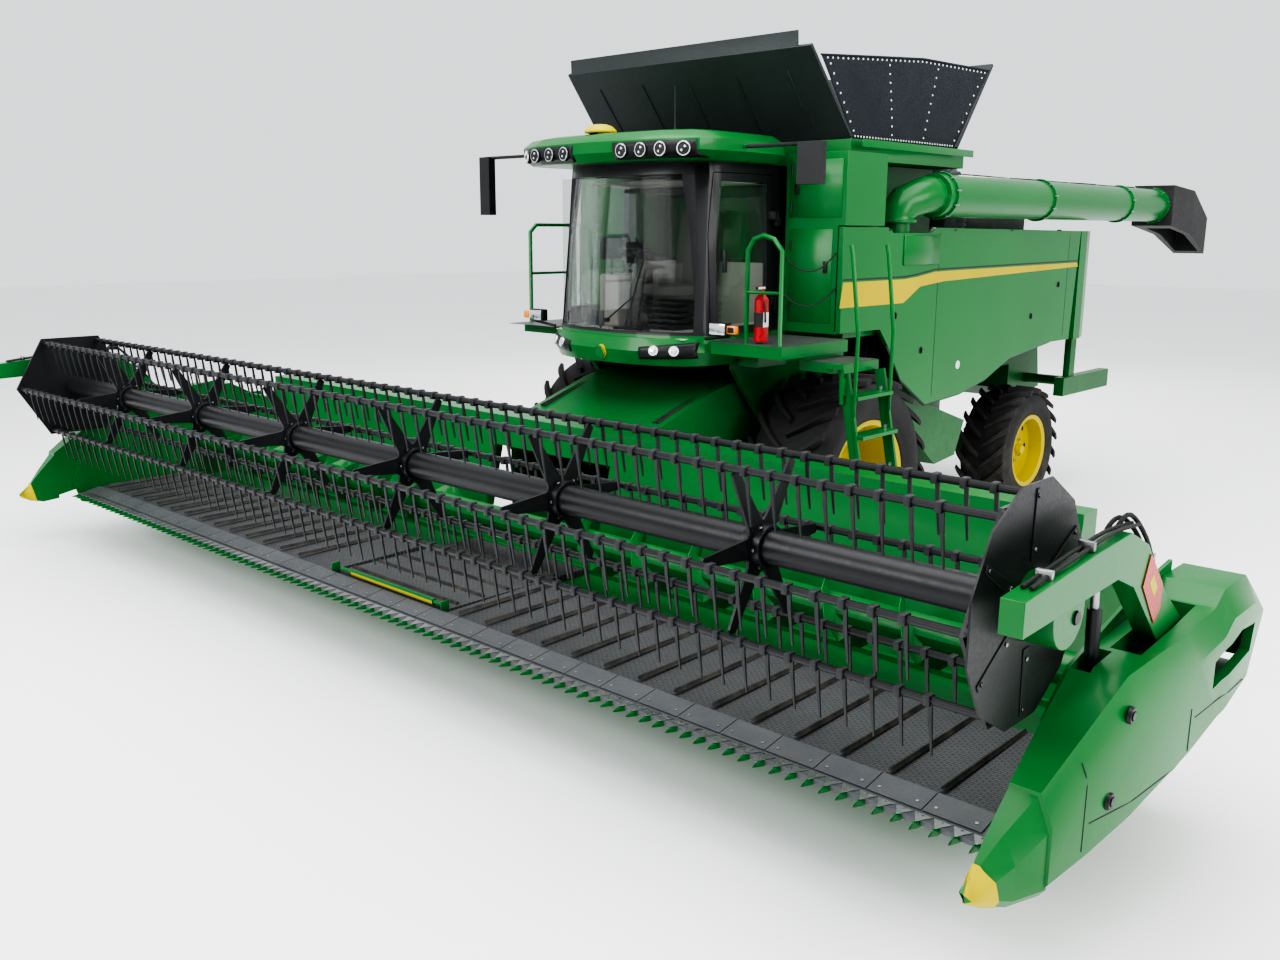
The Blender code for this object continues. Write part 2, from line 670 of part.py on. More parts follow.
def front_opening(gap):
    return prism_y([(-0.80 + gap, 2.36 + gap), (0.80 - gap, 2.36 + gap), (0.765 - gap, 3.66 - gap),
                    (-0.765 + gap, 3.66 - gap)], m(-2.0), m(-1.28) - gap)


def door_opening(gap, low=2.32, high=3.68, front=DOOR_FRONT, rear=DOOR_REAR):
    return prism_x([(m(front) + gap, low + gap), (m(rear) - gap, low + gap), (m(rear) - gap, high - gap),
                    (m(front + 0.06) + gap, high - gap), (m(front) + gap, high - 0.5)], 0.5, 1.2)


def cab():
    room = cab_loft(CAB_WALL, CAB_FLOOR_Z + 0.08, CAB_TOP_Z - 0.06)
    apron = [[(x * grow, y - 0.03 * (grow > 1), z) for x, y in cab_outline(-0.02, 0.0) if y < m(-0.94)]
             for z, grow in ((2.08, 0.97), (2.20, 1.02), (2.31, 1.0))]
    openings = [front_opening(0), door_opening(0), mirrored(door_opening(0, low=2.5)),
                block((-0.5, m(CAB_REAR - 0.2), 2.95), (0.5, m(CAB_REAR + 0.1), 3.5))]
    knuckles = []
    for z in (2.56, 3.30):
        knuckles.append(block((0.86, m(DOOR_REAR) + 0.013, z - 0.05), (0.965, m(DOOR_REAR) + 0.05, z + 0.02)))
        knuckles.append(block((0.94, m(DOOR_REAR) - 0.012, z - 0.05), (0.97, m(DOOR_REAR) + 0.03, z - FIT)))
    shell = combine([cab_loft(0), loft(apron)], cuts=[room] + openings)
    finish("cab_body", [shell] + knuckles, PAINT)
    finish("windscreen", [cab_wall(0.02, 0.012)], GLASS, common=front_opening(FIT))
    pivot = joint("cab_door_axis", (DOOR_HINGE_X, m(DOOR_REAR), 3.0))
    leaf = combine([cab_wall(0.0, 0.045)], common=door_opening(DOOR_GAP))
    straps = []
    for z in (2.56, 3.30):
        straps.append(block((0.89, m(DOOR_REAR) - 0.04, z), (DOOR_HINGE_X + 0.01, m(DOOR_REAR) - 0.007, z + 0.07)))
        straps.append(rod((DOOR_HINGE_X, m(DOOR_REAR), z), (DOOR_HINGE_X, m(DOOR_REAR), z + 0.07), 0.012, 12))
    pane = door_opening(0, 2.40, 3.61, DOOR_FRONT + 0.07, DOOR_REAR - 0.07)
    finish("cab_door", [combine([leaf], cuts=[pane])] + straps, DARK_PAINT, pivot=pivot)


def cab_roof():
    edge = [(1.12, -0.60), (1.12, -1.35), (1.04, -1.58), (0.75, -1.70), (0.0, -1.76)]
    plan = [(0.98, -0.36)] + edge + [(-x, y) for x, y in reversed(edge[:-1])] + [(-0.98, -0.36)]
    middle = Vector((0.0, -0.95))
    sections = []
    for z, grow in ((CAB_TOP_Z + FIT, 0.93), (3.83, 1.0), (3.92, 1.0), (3.98, 0.93), (ROOF_Z, 0.82)):
        sections.append([(middle.x + (x - middle.x) * grow, m(middle.y + (y - middle.y) * grow), z) for x, y in plan])
    pieces = [loft(sections)]
    for side in (1, -1):
        arm_y = -1.40 if side < 0 else -1.12
        reach = 1.78
        pieces.append(rod((side * 1.0, m(arm_y), 3.87), (side * (reach + 0.02), m(arm_y), 3.87), 0.016, 8))
        low, high = (3.34, 3.88) if side < 0 else (3.56, 3.88)
        half = 0.07 if side < 0 else 0.11
        xs = sorted((side * (reach - half), side * (reach + half)))
        pieces.append(block((xs[0], m(arm_y - 0.04), low), (xs[1], m(arm_y + 0.04), high)))
    finish("cab_roof", pieces, PAINT)


def operator_seat():
    floor = CAB_FLOOR_Z + 0.08 + FIT
    y = m(-0.70)
    base = block((-0.20, y - 0.20, floor), (0.20, y + 0.20, floor + 0.30))
    cushion = block((-0.26, y - 0.28, floor + 0.28), (0.26, y + 0.24, floor + 0.44))
    back = bar((0, y + 0.22, floor + 0.38), (0, y + 0.34, floor + 1.12), 0.50, 0.13)
    rest = block((-0.42, y - 0.25, floor + 0.52), (-0.24, y + 0.20, floor + 0.62))
    post = block((-0.36, y - 0.05, floor + 0.2), (-0.2, y + 0.10, floor + 0.56))
    finish("operator_seat", [base, cushion, back, rest, post], SEAT_CLOTH)


def steering_column():
    floor = CAB_FLOOR_Z + 0.08 + FIT
    foot = block((-0.13, m(-1.36), floor), (0.13, m(-1.16), floor + 0.06))
    column = rod((0, m(-1.27), floor + 0.03), (0, m(-1.13), floor + 0.66), 0.06, 12)
    centre = Vector((0, m(-1.12), floor + 0.70))
    tilt = Matrix.Translation(centre) @ Matrix.Rotation(radians(-18), 4, "X")
    ring = [tilt @ Vector((0.19 * cos(t), 0.19 * sin(t), 0)) for t in (2 * pi * i / 20 for i in range(20))]
    wheel = pipe(ring, 0.015, 1, closed=True)
    spoke = rod(tilt @ Vector((-0.19, 0, 0)), tilt @ Vector((0.19, 0, 0)), 0.014, 8)
    hub = rod(tilt @ Vector((0, 0, -0.08)), tilt @ Vector((0, 0, 0.02)), 0.05, 12)
    finish("steering_column", [foot, column, hub, spoke, wheel], DARK_PAINT)


def platforms():
    top = 2.30
    deck = block((0.975, m(-1.32), top - 0.10), (1.70, m(-0.37), top))
    landing = block((1.60, m(-0.93), top - 0.22), (2.01, m(-0.37), top - 0.14))
    step = block((1.60, m(-0.93), top - 0.20), (1.66, m(-0.37), top - 0.05))
    mount = block((0.92 + FIT, m(-0.90), 2.06), (1.15, m(-0.5), CAB_FLOOR_Z - 0.005))
    ear = block((1.93, m(-1.03), 2.13 + FIT), (2.09, m(-0.97), 2.17))
    ear_root = block((1.93, m(-1.02), 2.09), (1.99, m(-0.90), 2.165))
    y = m(-1.27)
    loop = pipe([(1.30, y, top - 0.02), (1.30, y, 3.05), (1.36, y, 3.14), (1.46, y, 3.17), (1.56, y, 3.14),
                 (1.64, y, 3.05), (1.64, y, top - 0.02)], 0.02)
    rung = rod((1.30, y, 2.72), (1.64, y, 2.72), 0.014, 8)
    finish("platform_left", [deck, landing, step, mount, ear_root, ear, loop, rung], PAINT)
    far_deck = block((-1.62, m(-1.10), top - 0.09), (-0.975, m(-0.37), top))
    far_mount = block((-1.15, m(-0.90), 2.06), (-0.92 - FIT, m(-0.5), CAB_FLOOR_Z - 0.005))
    x = -1.58
    far_loop = pipe([(x, m(-1.04), top - 0.02), (x, m(-1.04), 3.18), (x, m(-0.96), 3.25), (x, m(-0.52), 3.25),
                     (x, m(-0.44), 3.18), (x, m(-0.44), top - 0.02)], 0.02)
    far_rung = rod((x, m(-1.04), 2.78), (x, m(-0.44), 2.78), 0.014, 8)
    finish("platform_right", [far_deck, far_mount, far_loop, far_rung], PAINT)


def ladder():
    pivot = joint("ladder_axis", (2.06, m(-0.99), 1.5))
    top, foot = Vector((2.055, 0, 2.09)), Vector((2.36, 0, 0.52))
    front, rear = m(-0.95), m(-0.42)
    pieces = []
    for y in (front, rear):
        pieces.append(bar((top.x, y, top.z), (foot.x, y, foot.z), 0.03, 0.09))
        lean = top.x + 0.06
        pieces.append(pipe([(lean + 0.04, y, 1.75), (lean + 0.05, y, 2.4), (lean - 0.03, y, 3.02), (lean - 0.05, y, 3.10)],
                           0.017))
    for i in range(5):
        share = (i + 0.6) / 5
        place = top.lerp(foot, share)
        pieces.append(block((place.x - 0.06, front, place.z - 0.015), (place.x + 0.10, rear, place.z + 0.015)))
    pin = rod((2.06, m(-0.99), 1.85), (2.06, m(-0.99), 2.13), 0.018, 12)
    hinge = block((2.04, m(-1.0), 1.92), (2.085, m(-0.94), 2.06))
    finish("ladder", pieces + [pin, hinge], PAINT, pivot=pivot)


# ---------------------------------------------------------------- unloading auger

def unloading_auger():
    pivot = joint("auger_axis", (SWING_X, m(SWING_Y), AUGER_Z))
    foot = 3.28 + FIT
    route = [(SWING_X, m(SWING_Y), foot), (SWING_X, m(SWING_Y), 3.36), (SWING_X + 0.05, m(SWING_Y + 0.05), 3.46),
             (AUGER_X - 0.03, m(SWING_Y + 0.22), AUGER_Z), (AUGER_X, m(SWING_Y + 0.40), AUGER_Z)]
    elbow = pipe(route, AUGER_R * 0.86, 4)
    collar = rod((SWING_X, m(SWING_Y), foot), (SWING_X, m(SWING_Y), foot + 0.03), AUGER_R * 0.9, 24)
    tube = rod((AUGER_X, m(SWING_Y + 0.30), AUGER_Z), (AUGER_X, m(AUGER_END), AUGER_Z), AUGER_R, 24)
    rings = [rod((AUGER_X, m(y - 0.02), AUGER_Z), (AUGER_X, m(y + 0.02), AUGER_Z), AUGER_R + 0.02, 24)
             for y in (SWING_Y + 0.42, 3.35, 5.55, AUGER_END - 0.03)]
    finish("unloading_auger", [tube, elbow, collar] + rings, PAINT, pivot=pivot)
    half = AUGER_R + 0.05
    start = AUGER_END + FIT
    sections = [[(AUGER_X - half, m(start), AUGER_Z - half), (AUGER_X + half, m(start), AUGER_Z - half),
                 (AUGER_X + half, m(start), AUGER_Z + half), (AUGER_X - half, m(start), AUGER_Z + half)]]
    for y, low, high, side in ((0.80, -0.36, 0.20, 0.24), (SPOUT_END - AUGER_END, -0.62, -0.14, 0.20)):
        at = m(AUGER_END + y)
        sections.append([(AUGER_X - side, at, AUGER_Z + low), (AUGER_X + side, at, AUGER_Z + low),
                         (AUGER_X + side, at, AUGER_Z + high), (AUGER_X - side, at, AUGER_Z + high)])
    mouth = block((AUGER_X - 0.15, m(AUGER_END + 0.25), AUGER_Z - 0.8),
                  (AUGER_X + 0.15, m(SPOUT_END - 0.10), AUGER_Z - 0.24))
    finish("auger_spout", [loft(sections)], RUBBER, cuts=[mouth], pivot=pivot)


# ---------------------------------------------------------------- feeder house and lift cylinders

def feeder_house(pivot):
    front = h(BACK_Y) + FACE_GAP
    back = [(m(PIVOT_Y) + FEEDER_BACK_R * sin(t), PIVOT_Z + FEEDER_BACK_R * cos(t))
            for t in (pi * i / 8 for i in range(9))]
    outline = [(front, 0.50), (front, 1.58), (front + 0.25, 1.60), (m(-1.04), 1.84)] + back
    inner = [(front - 0.1, 0.60), (front - 0.1, 1.36), (front + 0.20, 1.36), (m(-1.02), 1.76), (m(PIVOT_Y), 1.90),
             (m(PIVOT_Y) + 0.25, PIVOT_Z), (m(PIVOT_Y), 1.32)]
    body = combine([prism_x(outline, -FEEDER_HALF, FEEDER_HALF)],
                   cuts=[prism_x(inner, FEEDER_WALL - FEEDER_HALF, FEEDER_HALF - FEEDER_WALL)])
    shaft = rod((-0.915, m(PIVOT_Y), PIVOT_Z), (0.915, m(PIVOT_Y), PIVOT_Z), PIVOT_R)
    eye_y, eye_z = m(LIFT_EYE[0]), LIFT_EYE[1]
    lug = prism_x([(eye_y - 0.10, eye_z - 0.09), (eye_y + 0.10, eye_z - 0.09), (eye_y + 0.22, eye_z + 0.26),
                   (eye_y - 0.16, eye_z + 0.14)], LIFT_X + 0.09, LIFT_X + 0.12)
    inner_lug = mirrored(mirrored(lug))
    inner_lug.data.transform(Matrix.Translation((-0.21, 0, 0)))
    cuts = [bore((-1, eye_y, eye_z), (1, eye_y, eye_z), 0.025, LIFT_SLACK),
            bore((0, h(BACK_Y) - 0.1, TILT_Z), (0, h(BACK_Y) + 0.075, TILT_Z), TILT_R)]
    finish("feeder_house", [body, shaft] + both(lug) + both(inner_lug), PAINT, cuts=cuts, pivot=pivot)


def lift_cylinders():
    base = Vector((0, m(LIFT_BASE[0]), LIFT_BASE[1]))
    eye = Vector((0, m(LIFT_EYE[0]), LIFT_EYE[1]))
    run = (eye - base).normalized()
    length = (eye - base).length
    barrel_end = base + run * (length * 0.68)
    rod_start = base + run * (length * 0.30)
    pivot = joint("lift_barrel_axis", base)
    shift = Vector((LIFT_X, 0, 0))
    barrels = both(rod(base + shift, barrel_end + shift, LIFT_BARREL_R, 20))
    bores = both(bore(base + run * (length * 0.2) + shift, barrel_end + run * 0.1 + shift, LIFT_ROD_R))
    shaft = rod((-0.62, base.y, base.z), (0.62, base.y, base.z), LIFT_SHAFT_R)
    finish("lift_barrels", [shaft] + barrels, DARK_PAINT, cuts=bores, pivot=pivot)
    slide = joint("lift_rod_axis", eye, pivot)
    rods = both(rod(rod_start + shift, eye + shift, LIFT_ROD_R, 20))
    pin = rod((-0.68, eye.y, eye.z), (0.68, eye.y, eye.z), 0.025)
    finish("lift_rods", [pin] + rods, BARE_STEEL, pivot=slide)


# ---------------------------------------------------------------- header

def header_frame(pivot):
    low = KNIFE_Z - 0.07
    rear_low = 0.46
    back = prism_x([(h(1.72), rear_low), (h(1.75), rear_low), (h(2.02), BEAM_Z - 0.02), (h(1.99), BEAM_Z - 0.02)],
                   -HEADER_HALF - 0.01, HEADER_HALF + 0.01)
    beam = block((-HEADER_HALF - 0.008, h(1.98), 1.42), (HEADER_HALF + 0.008, h(BACK_Y), BEAM_Z))
    rear_beam = block((-HEADER_HALF - 0.012, h(1.70), 0.34), (HEADER_HALF + 0.012, h(1.92), 0.52))
    deck = prism_x([(h(0.08), low), (h(1.75), low + 0.02), (h(1.75), low + 0.05), (h(0.08), low + 0.03)],
                   -HEADER_HALF - 0.006, HEADER_HALF + 0.006)
    sheet = prism_x([(h(-0.05), 0.62), (h(0.02), 0.40), (h(1.97), 0.33), (h(BACK_Y) + 0.01, BEAM_Z + 0.01), (h(1.15), 1.48),
                     (h(0.35), 1.30), (h(0.12), 1.12)], HEADER_HALF, HEADER_HALF + SHEET)
    rib = prism_x([(h(1.72), 0.36), (h(1.90), 0.37), (h(BACK_Y) - 0.02, 1.50), (h(1.99), 1.50)], -0.04, 0.04)
    pieces = [back, beam, rear_beam, deck] + both(sheet)
    for x in (0.86, 2.2, 3.6):
        for side in (1, -1):
            mesh = rib.data.copy()
            mesh.transform(Matrix.Translation((side * x, 0, 0)))
            pieces.append(helper(mesh))
    bpy.data.objects.remove(rib)
    arm_pin = rod((HEADER_HALF + 0.01, h(ARM_PIVOT[0]), ARM_PIVOT[1]), (ARM_OUT + 0.01, h(ARM_PIVOT[0]), ARM_PIVOT[1]),
                  ARM_PIN_R)
    ram_pin = rod((HEADER_HALF + 0.01, h(RAM_BASE[0]), RAM_BASE[1]), (RAM_X + 0.035, h(RAM_BASE[0]), RAM_BASE[1]),
                  RAM_PIN_R)
    tilt_pin = rod((0, h(2.05), TILT_Z), (0, h(BACK_Y) + 0.07, TILT_Z), TILT_R)
    cross_hole = bore((-6, h(CROSS_Y), CROSS_Z), (6, h(CROSS_Y), CROSS_Z), 0.03)
    mouth = block((-CENTRE_HALF, h(1.5), 0.56), (CENTRE_HALF, h(2.6), 1.34))
    notch = block((NOTCH_X, h(1.60), NOTCH_Z), (HEADER_HALF + 0.1, h(2.5), 2.0))
    finish("header_frame", pieces + both(arm_pin) + both(ram_pin) + [tilt_pin], PAINT, cuts=[mouth, cross_hole] + both(notch), pivot=pivot)


def belts(pivot):
    low = KNIFE_Z - 0.07 + 0.03
    slope = 0.02 / 1.67
    top = KNIFE_Z + BELT_Z

    def slab(front, rear, lift):
        base = [low + slope * (y - 0.08) + FIT for y in (front, rear)]
        return [(h(front), base[0]), (h(rear), base[1]), (h(rear), top + lift), (h(front), top)]

    side = prism_x(slab(BELT_FRONT, BELT_REAR, 0.02), CENTRE_HALF + 0.03, HEADER_HALF - 0.01)
    finish("draper_belt_right", [mirrored(side)], BELT, pivot=pivot)
    finish("draper_belt_left", [side], BELT, pivot=pivot)
    centre = prism_x(slab(BELT_FRONT + 0.06, 1.66, 0.0), -CENTRE_HALF + 0.02, CENTRE_HALF - 0.02)
    finish("feed_belt", [centre], BELT, pivot=pivot)


def cutterbar(pivot):
    half = HEADER_HALF - 0.01
    ramp = prism_x([(h(0.03), KNIFE_Z - 0.02), (h(0.08) - FIT, KNIFE_Z - 0.075), (h(0.08) - FIT, KNIFE_Z - 0.04 + FIT),
                    (h(BELT_FRONT) - 0.005, KNIFE_Z - 0.0375), (h(BELT_FRONT) - 0.005, KNIFE_Z + 0.035),
                    (h(0.05), KNIFE_Z + 0.004)], -half, half)
    bar_piece = block((-half, h(-0.02), KNIFE_Z - 0.03), (half, h(0.06), KNIFE_Z))
    finish("cutterbar", [bar_piece, ramp], PANEL_GREY, pivot=pivot)


SHIELD_IN = HEADER_HALF + SHEET + FIT
SHIELD_SECTIONS = (  # distance behind the knife, inner x, outer x, bottom, shoulder, top
    (-0.20, SHIELD_IN, 5.38, 0.50, 0.80, 0.94),
    (0.05, SHIELD_IN, 5.43, 0.55, 0.97, 1.11),
    (0.37, SHIELD_IN, 5.49, 0.63, 1.15, 1.32),
    (1.00, SHIELD_IN, 5.53, 0.73, 1.22, 1.36),
    (1.36, SHIELD_IN, 5.54, 0.80, 1.26, 1.40),
    (1.45, SHIELD_IN, 5.55, 0.82, 1.34, 1.48),
    (1.78, SHIELD_IN, 5.55, 0.90, 1.34, 1.48),
    (2.04, SHIELD_IN, 5.53, 1.18, 1.24, 1.34),
)
CONE_SECTIONS = (
    (-0.56, 5.18, 5.22, 0.54, 0.56, 0.58),
    (-0.48, 5.165, 5.245, 0.50, 0.59, 0.64),
    (-0.35, 5.17, 5.30, 0.46, 0.66, 0.78),
    (-0.19, SHIELD_IN, 5.37, 0.47, 0.78, 0.93),
)


def shield_loft(rows):
    sections = []
    for y, inner, outer, bottom, shoulder, top in rows:
        sections.append([(inner, h(y), bottom), (outer - 0.03, h(y), bottom), (outer, h(y), bottom + 0.04),
                         (outer, h(y), shoulder), (outer - 0.06, h(y), top), (inner, h(y), top)])
    return loft(sections)


def end_shield(word, side, pivot):
    arm_well = block((ARM_IN - 0.02, h(0.62), 1.05), (ARM_OUT + 0.02, h(1.34), 2.2))
    ram_well = block((HEADER_HALF, h(RAM_BASE[0] - 0.14), 0.98), (RAM_X + 0.05, h(RAM_BASE[0] + 0.10), 2.2))
    pin_well = block((HEADER_HALF, h(ARM_PIVOT[0] - 0.06), ARM_PIVOT[1] - 0.06),
                     (ARM_IN, h(ARM_PIVOT[0] + 0.06), 2.2))
    window = prism_x([(h(1.25), 1.02), (h(1.78), 1.08), (h(1.84), 1.22), (h(1.60), 1.24), (h(1.25), 1.16)], 5.40, 5.8)
    pocket = block((5.25, h(1.20), 0.98), (5.50, h(1.88), 1.24))
    shape = combine([shield_loft(SHIELD_SECTIONS)], cuts=[arm_well, ram_well, pin_well, pocket, window])
    shape = combine([shape, shield_loft(CONE_SECTIONS)])
    if side < 0:
        shape = mirrored(shape)
    finish(f"end_shield_{word}", [shape], PAINT, pivot=pivot)


def cross_auger(pivot):
    centre = Vector((0, h(CROSS_Y), CROSS_Z))
    tube = rod((-HEADER_HALF + 0.02, centre.y, centre.z), (HEADER_HALF - 0.02, centre.y, centre.z), CROSS_TUBE_R, 12)
    shaft = rod((-HEADER_HALF - 0.015, centre.y, centre.z), (HEADER_HALF + 0.015, centre.y, centre.z), 0.03, 12)
    pieces = [tube, shaft]
    start, end = CENTRE_HALF + 0.1, HEADER_HALF - 0.06
    turns = int((end - start) / CROSS_PITCH)
    steps = 8
    for side in (1, -1):
        work = bmesh.new()
        rings = []
        for i in range(turns * steps + 1):
            t = 2 * pi * i / steps
            x = start + CROSS_PITCH * i / steps
            ring = []
            for radius, dx in ((CROSS_TUBE_R - 0.03, -0.006), (CROSS_R, -0.004), (CROSS_R, 0.004), (CROSS_TUBE_R - 0.03, 0.006)):
                ring.append(work.verts.new((side * (x + dx), centre.y + radius * cos(t), centre.z + radius * sin(t))))
            rings.append(ring)
        for near, far in zip(rings, rings[1:]):
            for i in range(4):
                j = (i + 1) % 4
                work.faces.new((near[i], near[j], far[j], far[i]))
        work.faces.new(rings[0])
        work.faces.new(rings[-1])
        mesh = bpy.data.meshes.new("flight")
        work.to_mesh(mesh)
        work.free()
        outward(mesh)
        pieces.append(helper(mesh))
    finish("cross_auger", pieces, PAINT, pivot=pivot)


# ---------------------------------------------------------------- reel

def bat_angles():
    return [2 * pi * i / BAT_COUNT for i in range(BAT_COUNT)]


def bat_centre(angle):
    return h(0) + BAT_RADIUS * cos(angle), REEL_Z + BAT_RADIUS * sin(angle)


def reel_core(pivot):
    y, z = h(0), REEL_Z
    tube = rod((-REEL_RIGHT, y, z), (REEL_LEFT, y, z), REEL_TUBE_R, 14)
    shaft = rod((-ARM_IN - 0.06, y, z), (ARM_IN + 0.06, y, z), REEL_SHAFT_R, 12)
    tip = BAT_RADIUS - BAT_R - RUN
    star = []
    for angle in bat_angles():
        for radius, turn in ((0.13, -0.52), (0.15, -0.36), (tip * 0.98, -0.055), (tip, 0.0), (tip * 0.98, 0.055),
                             (0.15, 0.36)):
            star.append((y + radius * cos(angle + turn), z + radius * sin(angle + turn)))
    pieces = [tube, shaft]
    for i in range(BAT_COUNT):
        x = (i - (BAT_COUNT - 1) / 2) * SPIDER_SPACING
        pieces.append(prism_x(star, x - 0.008, x + 0.008))
    hexagon = circle(PLATE_R, 6, (y, z), 0.0)
    pieces.append(prism_x(hexagon, REEL_LEFT - 0.01, REEL_LEFT + 0.01))
    pieces.append(prism_x(hexagon, -REEL_RIGHT - 0.01, -REEL_RIGHT + 0.01))
    cuts = []
    for angle in bat_angles():
        at = bat_centre(angle)
        for x in (REEL_LEFT, -REEL_RIGHT):
            cuts.append(bore((x - 0.1, *at), (x + 0.1, *at), BAT_R))
    finish("reel_core", pieces, DARK_PAINT, cuts=cuts, pivot=pivot)


def bats(pivot):
    """Each bat turns on the reel, and its crank pin rides in the control disc."""
    for number, angle in enumerate(bat_angles(), 1):
        y, z = bat_centre(angle)
        axis = joint(f"bat_{number}_axis", (0, y, z), pivot)
        crank_x = REEL_LEFT + 0.027
        tube = rod((-REEL_RIGHT - 0.027, y, z), (crank_x, y, z), BAT_R, 12)
        pin_y, pin_z = y + CRANK[0], z + CRANK[1]
        crank = bar((crank_x, y, z), (crank_x, pin_y, pin_z), 0.014, 0.036)
        pin = rod((crank_x, pin_y, pin_z), (DISC_X + DISC_WALL, pin_y, pin_z), CRANK_PIN_R, 12)
        finish(f"reel_bat_{number}", [tube, crank, pin], DARK_PAINT, pivot=axis)


def control_disc(pivot):
    centre = (h(0) + CRANK[0], REEL_Z + CRANK[1])
    disc = prism_x(circle(DISC_R, 12, centre, pi / 12), DISC_X, DISC_X + DISC_WALL)
    cuts = [bore((DISC_X - 0.1, *centre), (DISC_X + 0.1, *centre), HUB_R)]
    for angle in bat_angles():
        at = (centre[0] + BAT_RADIUS * cos(angle), centre[1] + BAT_RADIUS * sin(angle))
        cuts.append(bore((DISC_X - 0.1, *at), (DISC_X + 0.1, *at), CRANK_PIN_R))
    finish("reel_control_disc", [disc], DARK_PAINT, cuts=cuts, pivot=pivot)


def reel_arm(word, side, pivot):
    outline = [(-0.62, 1.88), (-0.62, 1.735), (0.30, 1.76), (0.50, 1.68), (0.80, 1.40), (1.02, 1.20), (1.16, 1.19),
               (1.24, 1.28), (1.18, 1.38), (0.92, 1.57), (0.64, 1.85), (0.42, 1.945), (0.05, 1.93)]
    arm = prism_x([(h(y), z) for y, z in outline], ARM_IN, ARM_OUT)
    y, z = h(0), REEL_Z
    if side > 0:
        hub_at = (y + CRANK[0], z + CRANK[1])
        hub = rod((DISC_X - 0.005, *hub_at), (ARM_IN + 0.05, *hub_at), HUB_R, 24)
    else:
        hub = rod((REEL_RIGHT + 0.05, y, z), (ARM_IN + 0.05, y, z), 0.07, 16)
    plate = prism_x([(y - 0.14, z - 0.08), (y + 0.09, z - 0.08), (y + 0.14, 1.80), (y - 0.22, 1.80)], ARM_IN, ARM_IN + 0.03)
    eye = rod((RAM_X - 0.03, h(RAM_EYE[0]), RAM_EYE[1]), (ARM_IN + 0.02, h(RAM_EYE[0]), RAM_EYE[1]), RAM_PIN_R)
    cuts = [bore((4.9, h(ARM_PIVOT[0]), ARM_PIVOT[1]), (5.6, h(ARM_PIVOT[0]), ARM_PIVOT[1]), ARM_PIN_R),
            bore((4.9, y, z), (ARM_IN + 0.07, y, z), REEL_SHAFT_R)]
    shape = combine([arm, plate, hub, eye], cuts=cuts)
    if side < 0:
        shape = mirrored(shape)
    finish(f"reel_arm_{word}", [shape], PAINT, pivot=pivot)


def reel_ram(word, side, header):
    base = Vector((RAM_X, h(RAM_BASE[0]), RAM_BASE[1]))
    eye = Vector((RAM_X, h(RAM_EYE[0]), RAM_EYE[1]))
    run = (eye - base).normalized()
    length = (eye - base).length
    barrel = rod(base - run * 0.03, base + run * (length * 0.70), RAM_R, 16)
    sleeve = bore(base + run * 0.035, base + run * length, RAM_ROD_R)
    hole = bore(base - Vector((0.1, 0, 0)), base + Vector((0.1, 0, 0)), RAM_PIN_R)
    barrel = combine([barrel], cuts=[sleeve, hole])
    head_r = RAM_PIN_R + RAM_SLACK + 0.014
    ring = rod(eye - Vector((0.012, 0, 0)), eye + Vector((0.012, 0, 0)), head_r, 20)
    stem = rod(base + run * 0.12, eye - run * (head_r - 0.008), RAM_ROD_R, 16)
    hole = bore(eye - Vector((0.1, 0, 0)), eye + Vector((0.1, 0, 0)), RAM_PIN_R, RAM_SLACK)
    stem = combine([stem, ring], cuts=[hole])
    if side < 0:
        barrel, stem = mirrored(barrel), mirrored(stem)
    pivot = joint(f"reel_barrel_{word}_axis", (side * RAM_X, base.y, base.z), header)
    finish(f"reel_barrel_{word}", [barrel], DARK_PAINT, pivot=pivot)
    slide = joint(f"reel_rod_{word}_axis", (side * RAM_X, eye.y, eye.z), pivot)
    finish(f"reel_rod_{word}", [stem], BARE_STEEL, pivot=slide)


def header():
    lift = joint("feeder_axis", (0, m(PIVOT_Y), PIVOT_Z))
    feeder_house(lift)
    tilt = joint("header_tilt_axis", (0, h(BACK_Y), TILT_Z), lift)
    header_frame(tilt)
    belts(tilt)
    cutterbar(tilt)
    for word, side in (("left", 1), ("right", -1)):
        end_shield(word, side, tilt)
    cross_auger(joint("cross_auger_axis", (0, h(CROSS_Y), CROSS_Z), tilt))
    arms = joint("reel_arm_axis", (0, h(ARM_PIVOT[0]), ARM_PIVOT[1]), tilt)
    for word, side in (("left", 1), ("right", -1)):
        reel_arm(word, side, arms)
        reel_ram(word, side, tilt)
    spin = joint("reel_axis", (0, h(0), REEL_Z), arms)
    reel_core(spin)
    bats(spin)
    control_disc(joint("control_disc_axis", (0, h(0) + CRANK[0], REEL_Z + CRANK[1]), arms))


def machine():
    main_frame()
    front_axle()
    rear_axle()
    wheels()
    grain_tank()
    tank_covers()
    engine()
    rear_hood()
    straw_chopper()
    for word, side in (("left", 1), ("right", -1)):
        side_panel(word, side)
    cab()
    cab_roof()
    operator_seat()
    steering_column()
    platforms()
    ladder()
    unloading_auger()
    lift_cylinders()


machine()
header()
for leftover in list(CUTTERS.objects):
    bpy.data.objects.remove(leftover)
print("pieces:", len([obj for obj in MODEL.objects if obj.type == "MESH"]))
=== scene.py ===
import json
from math import cos, sin, pi, radians
import bpy
import bmesh
from mathutils import Matrix, Vector
from mathutils.bvhtree import BVHTree


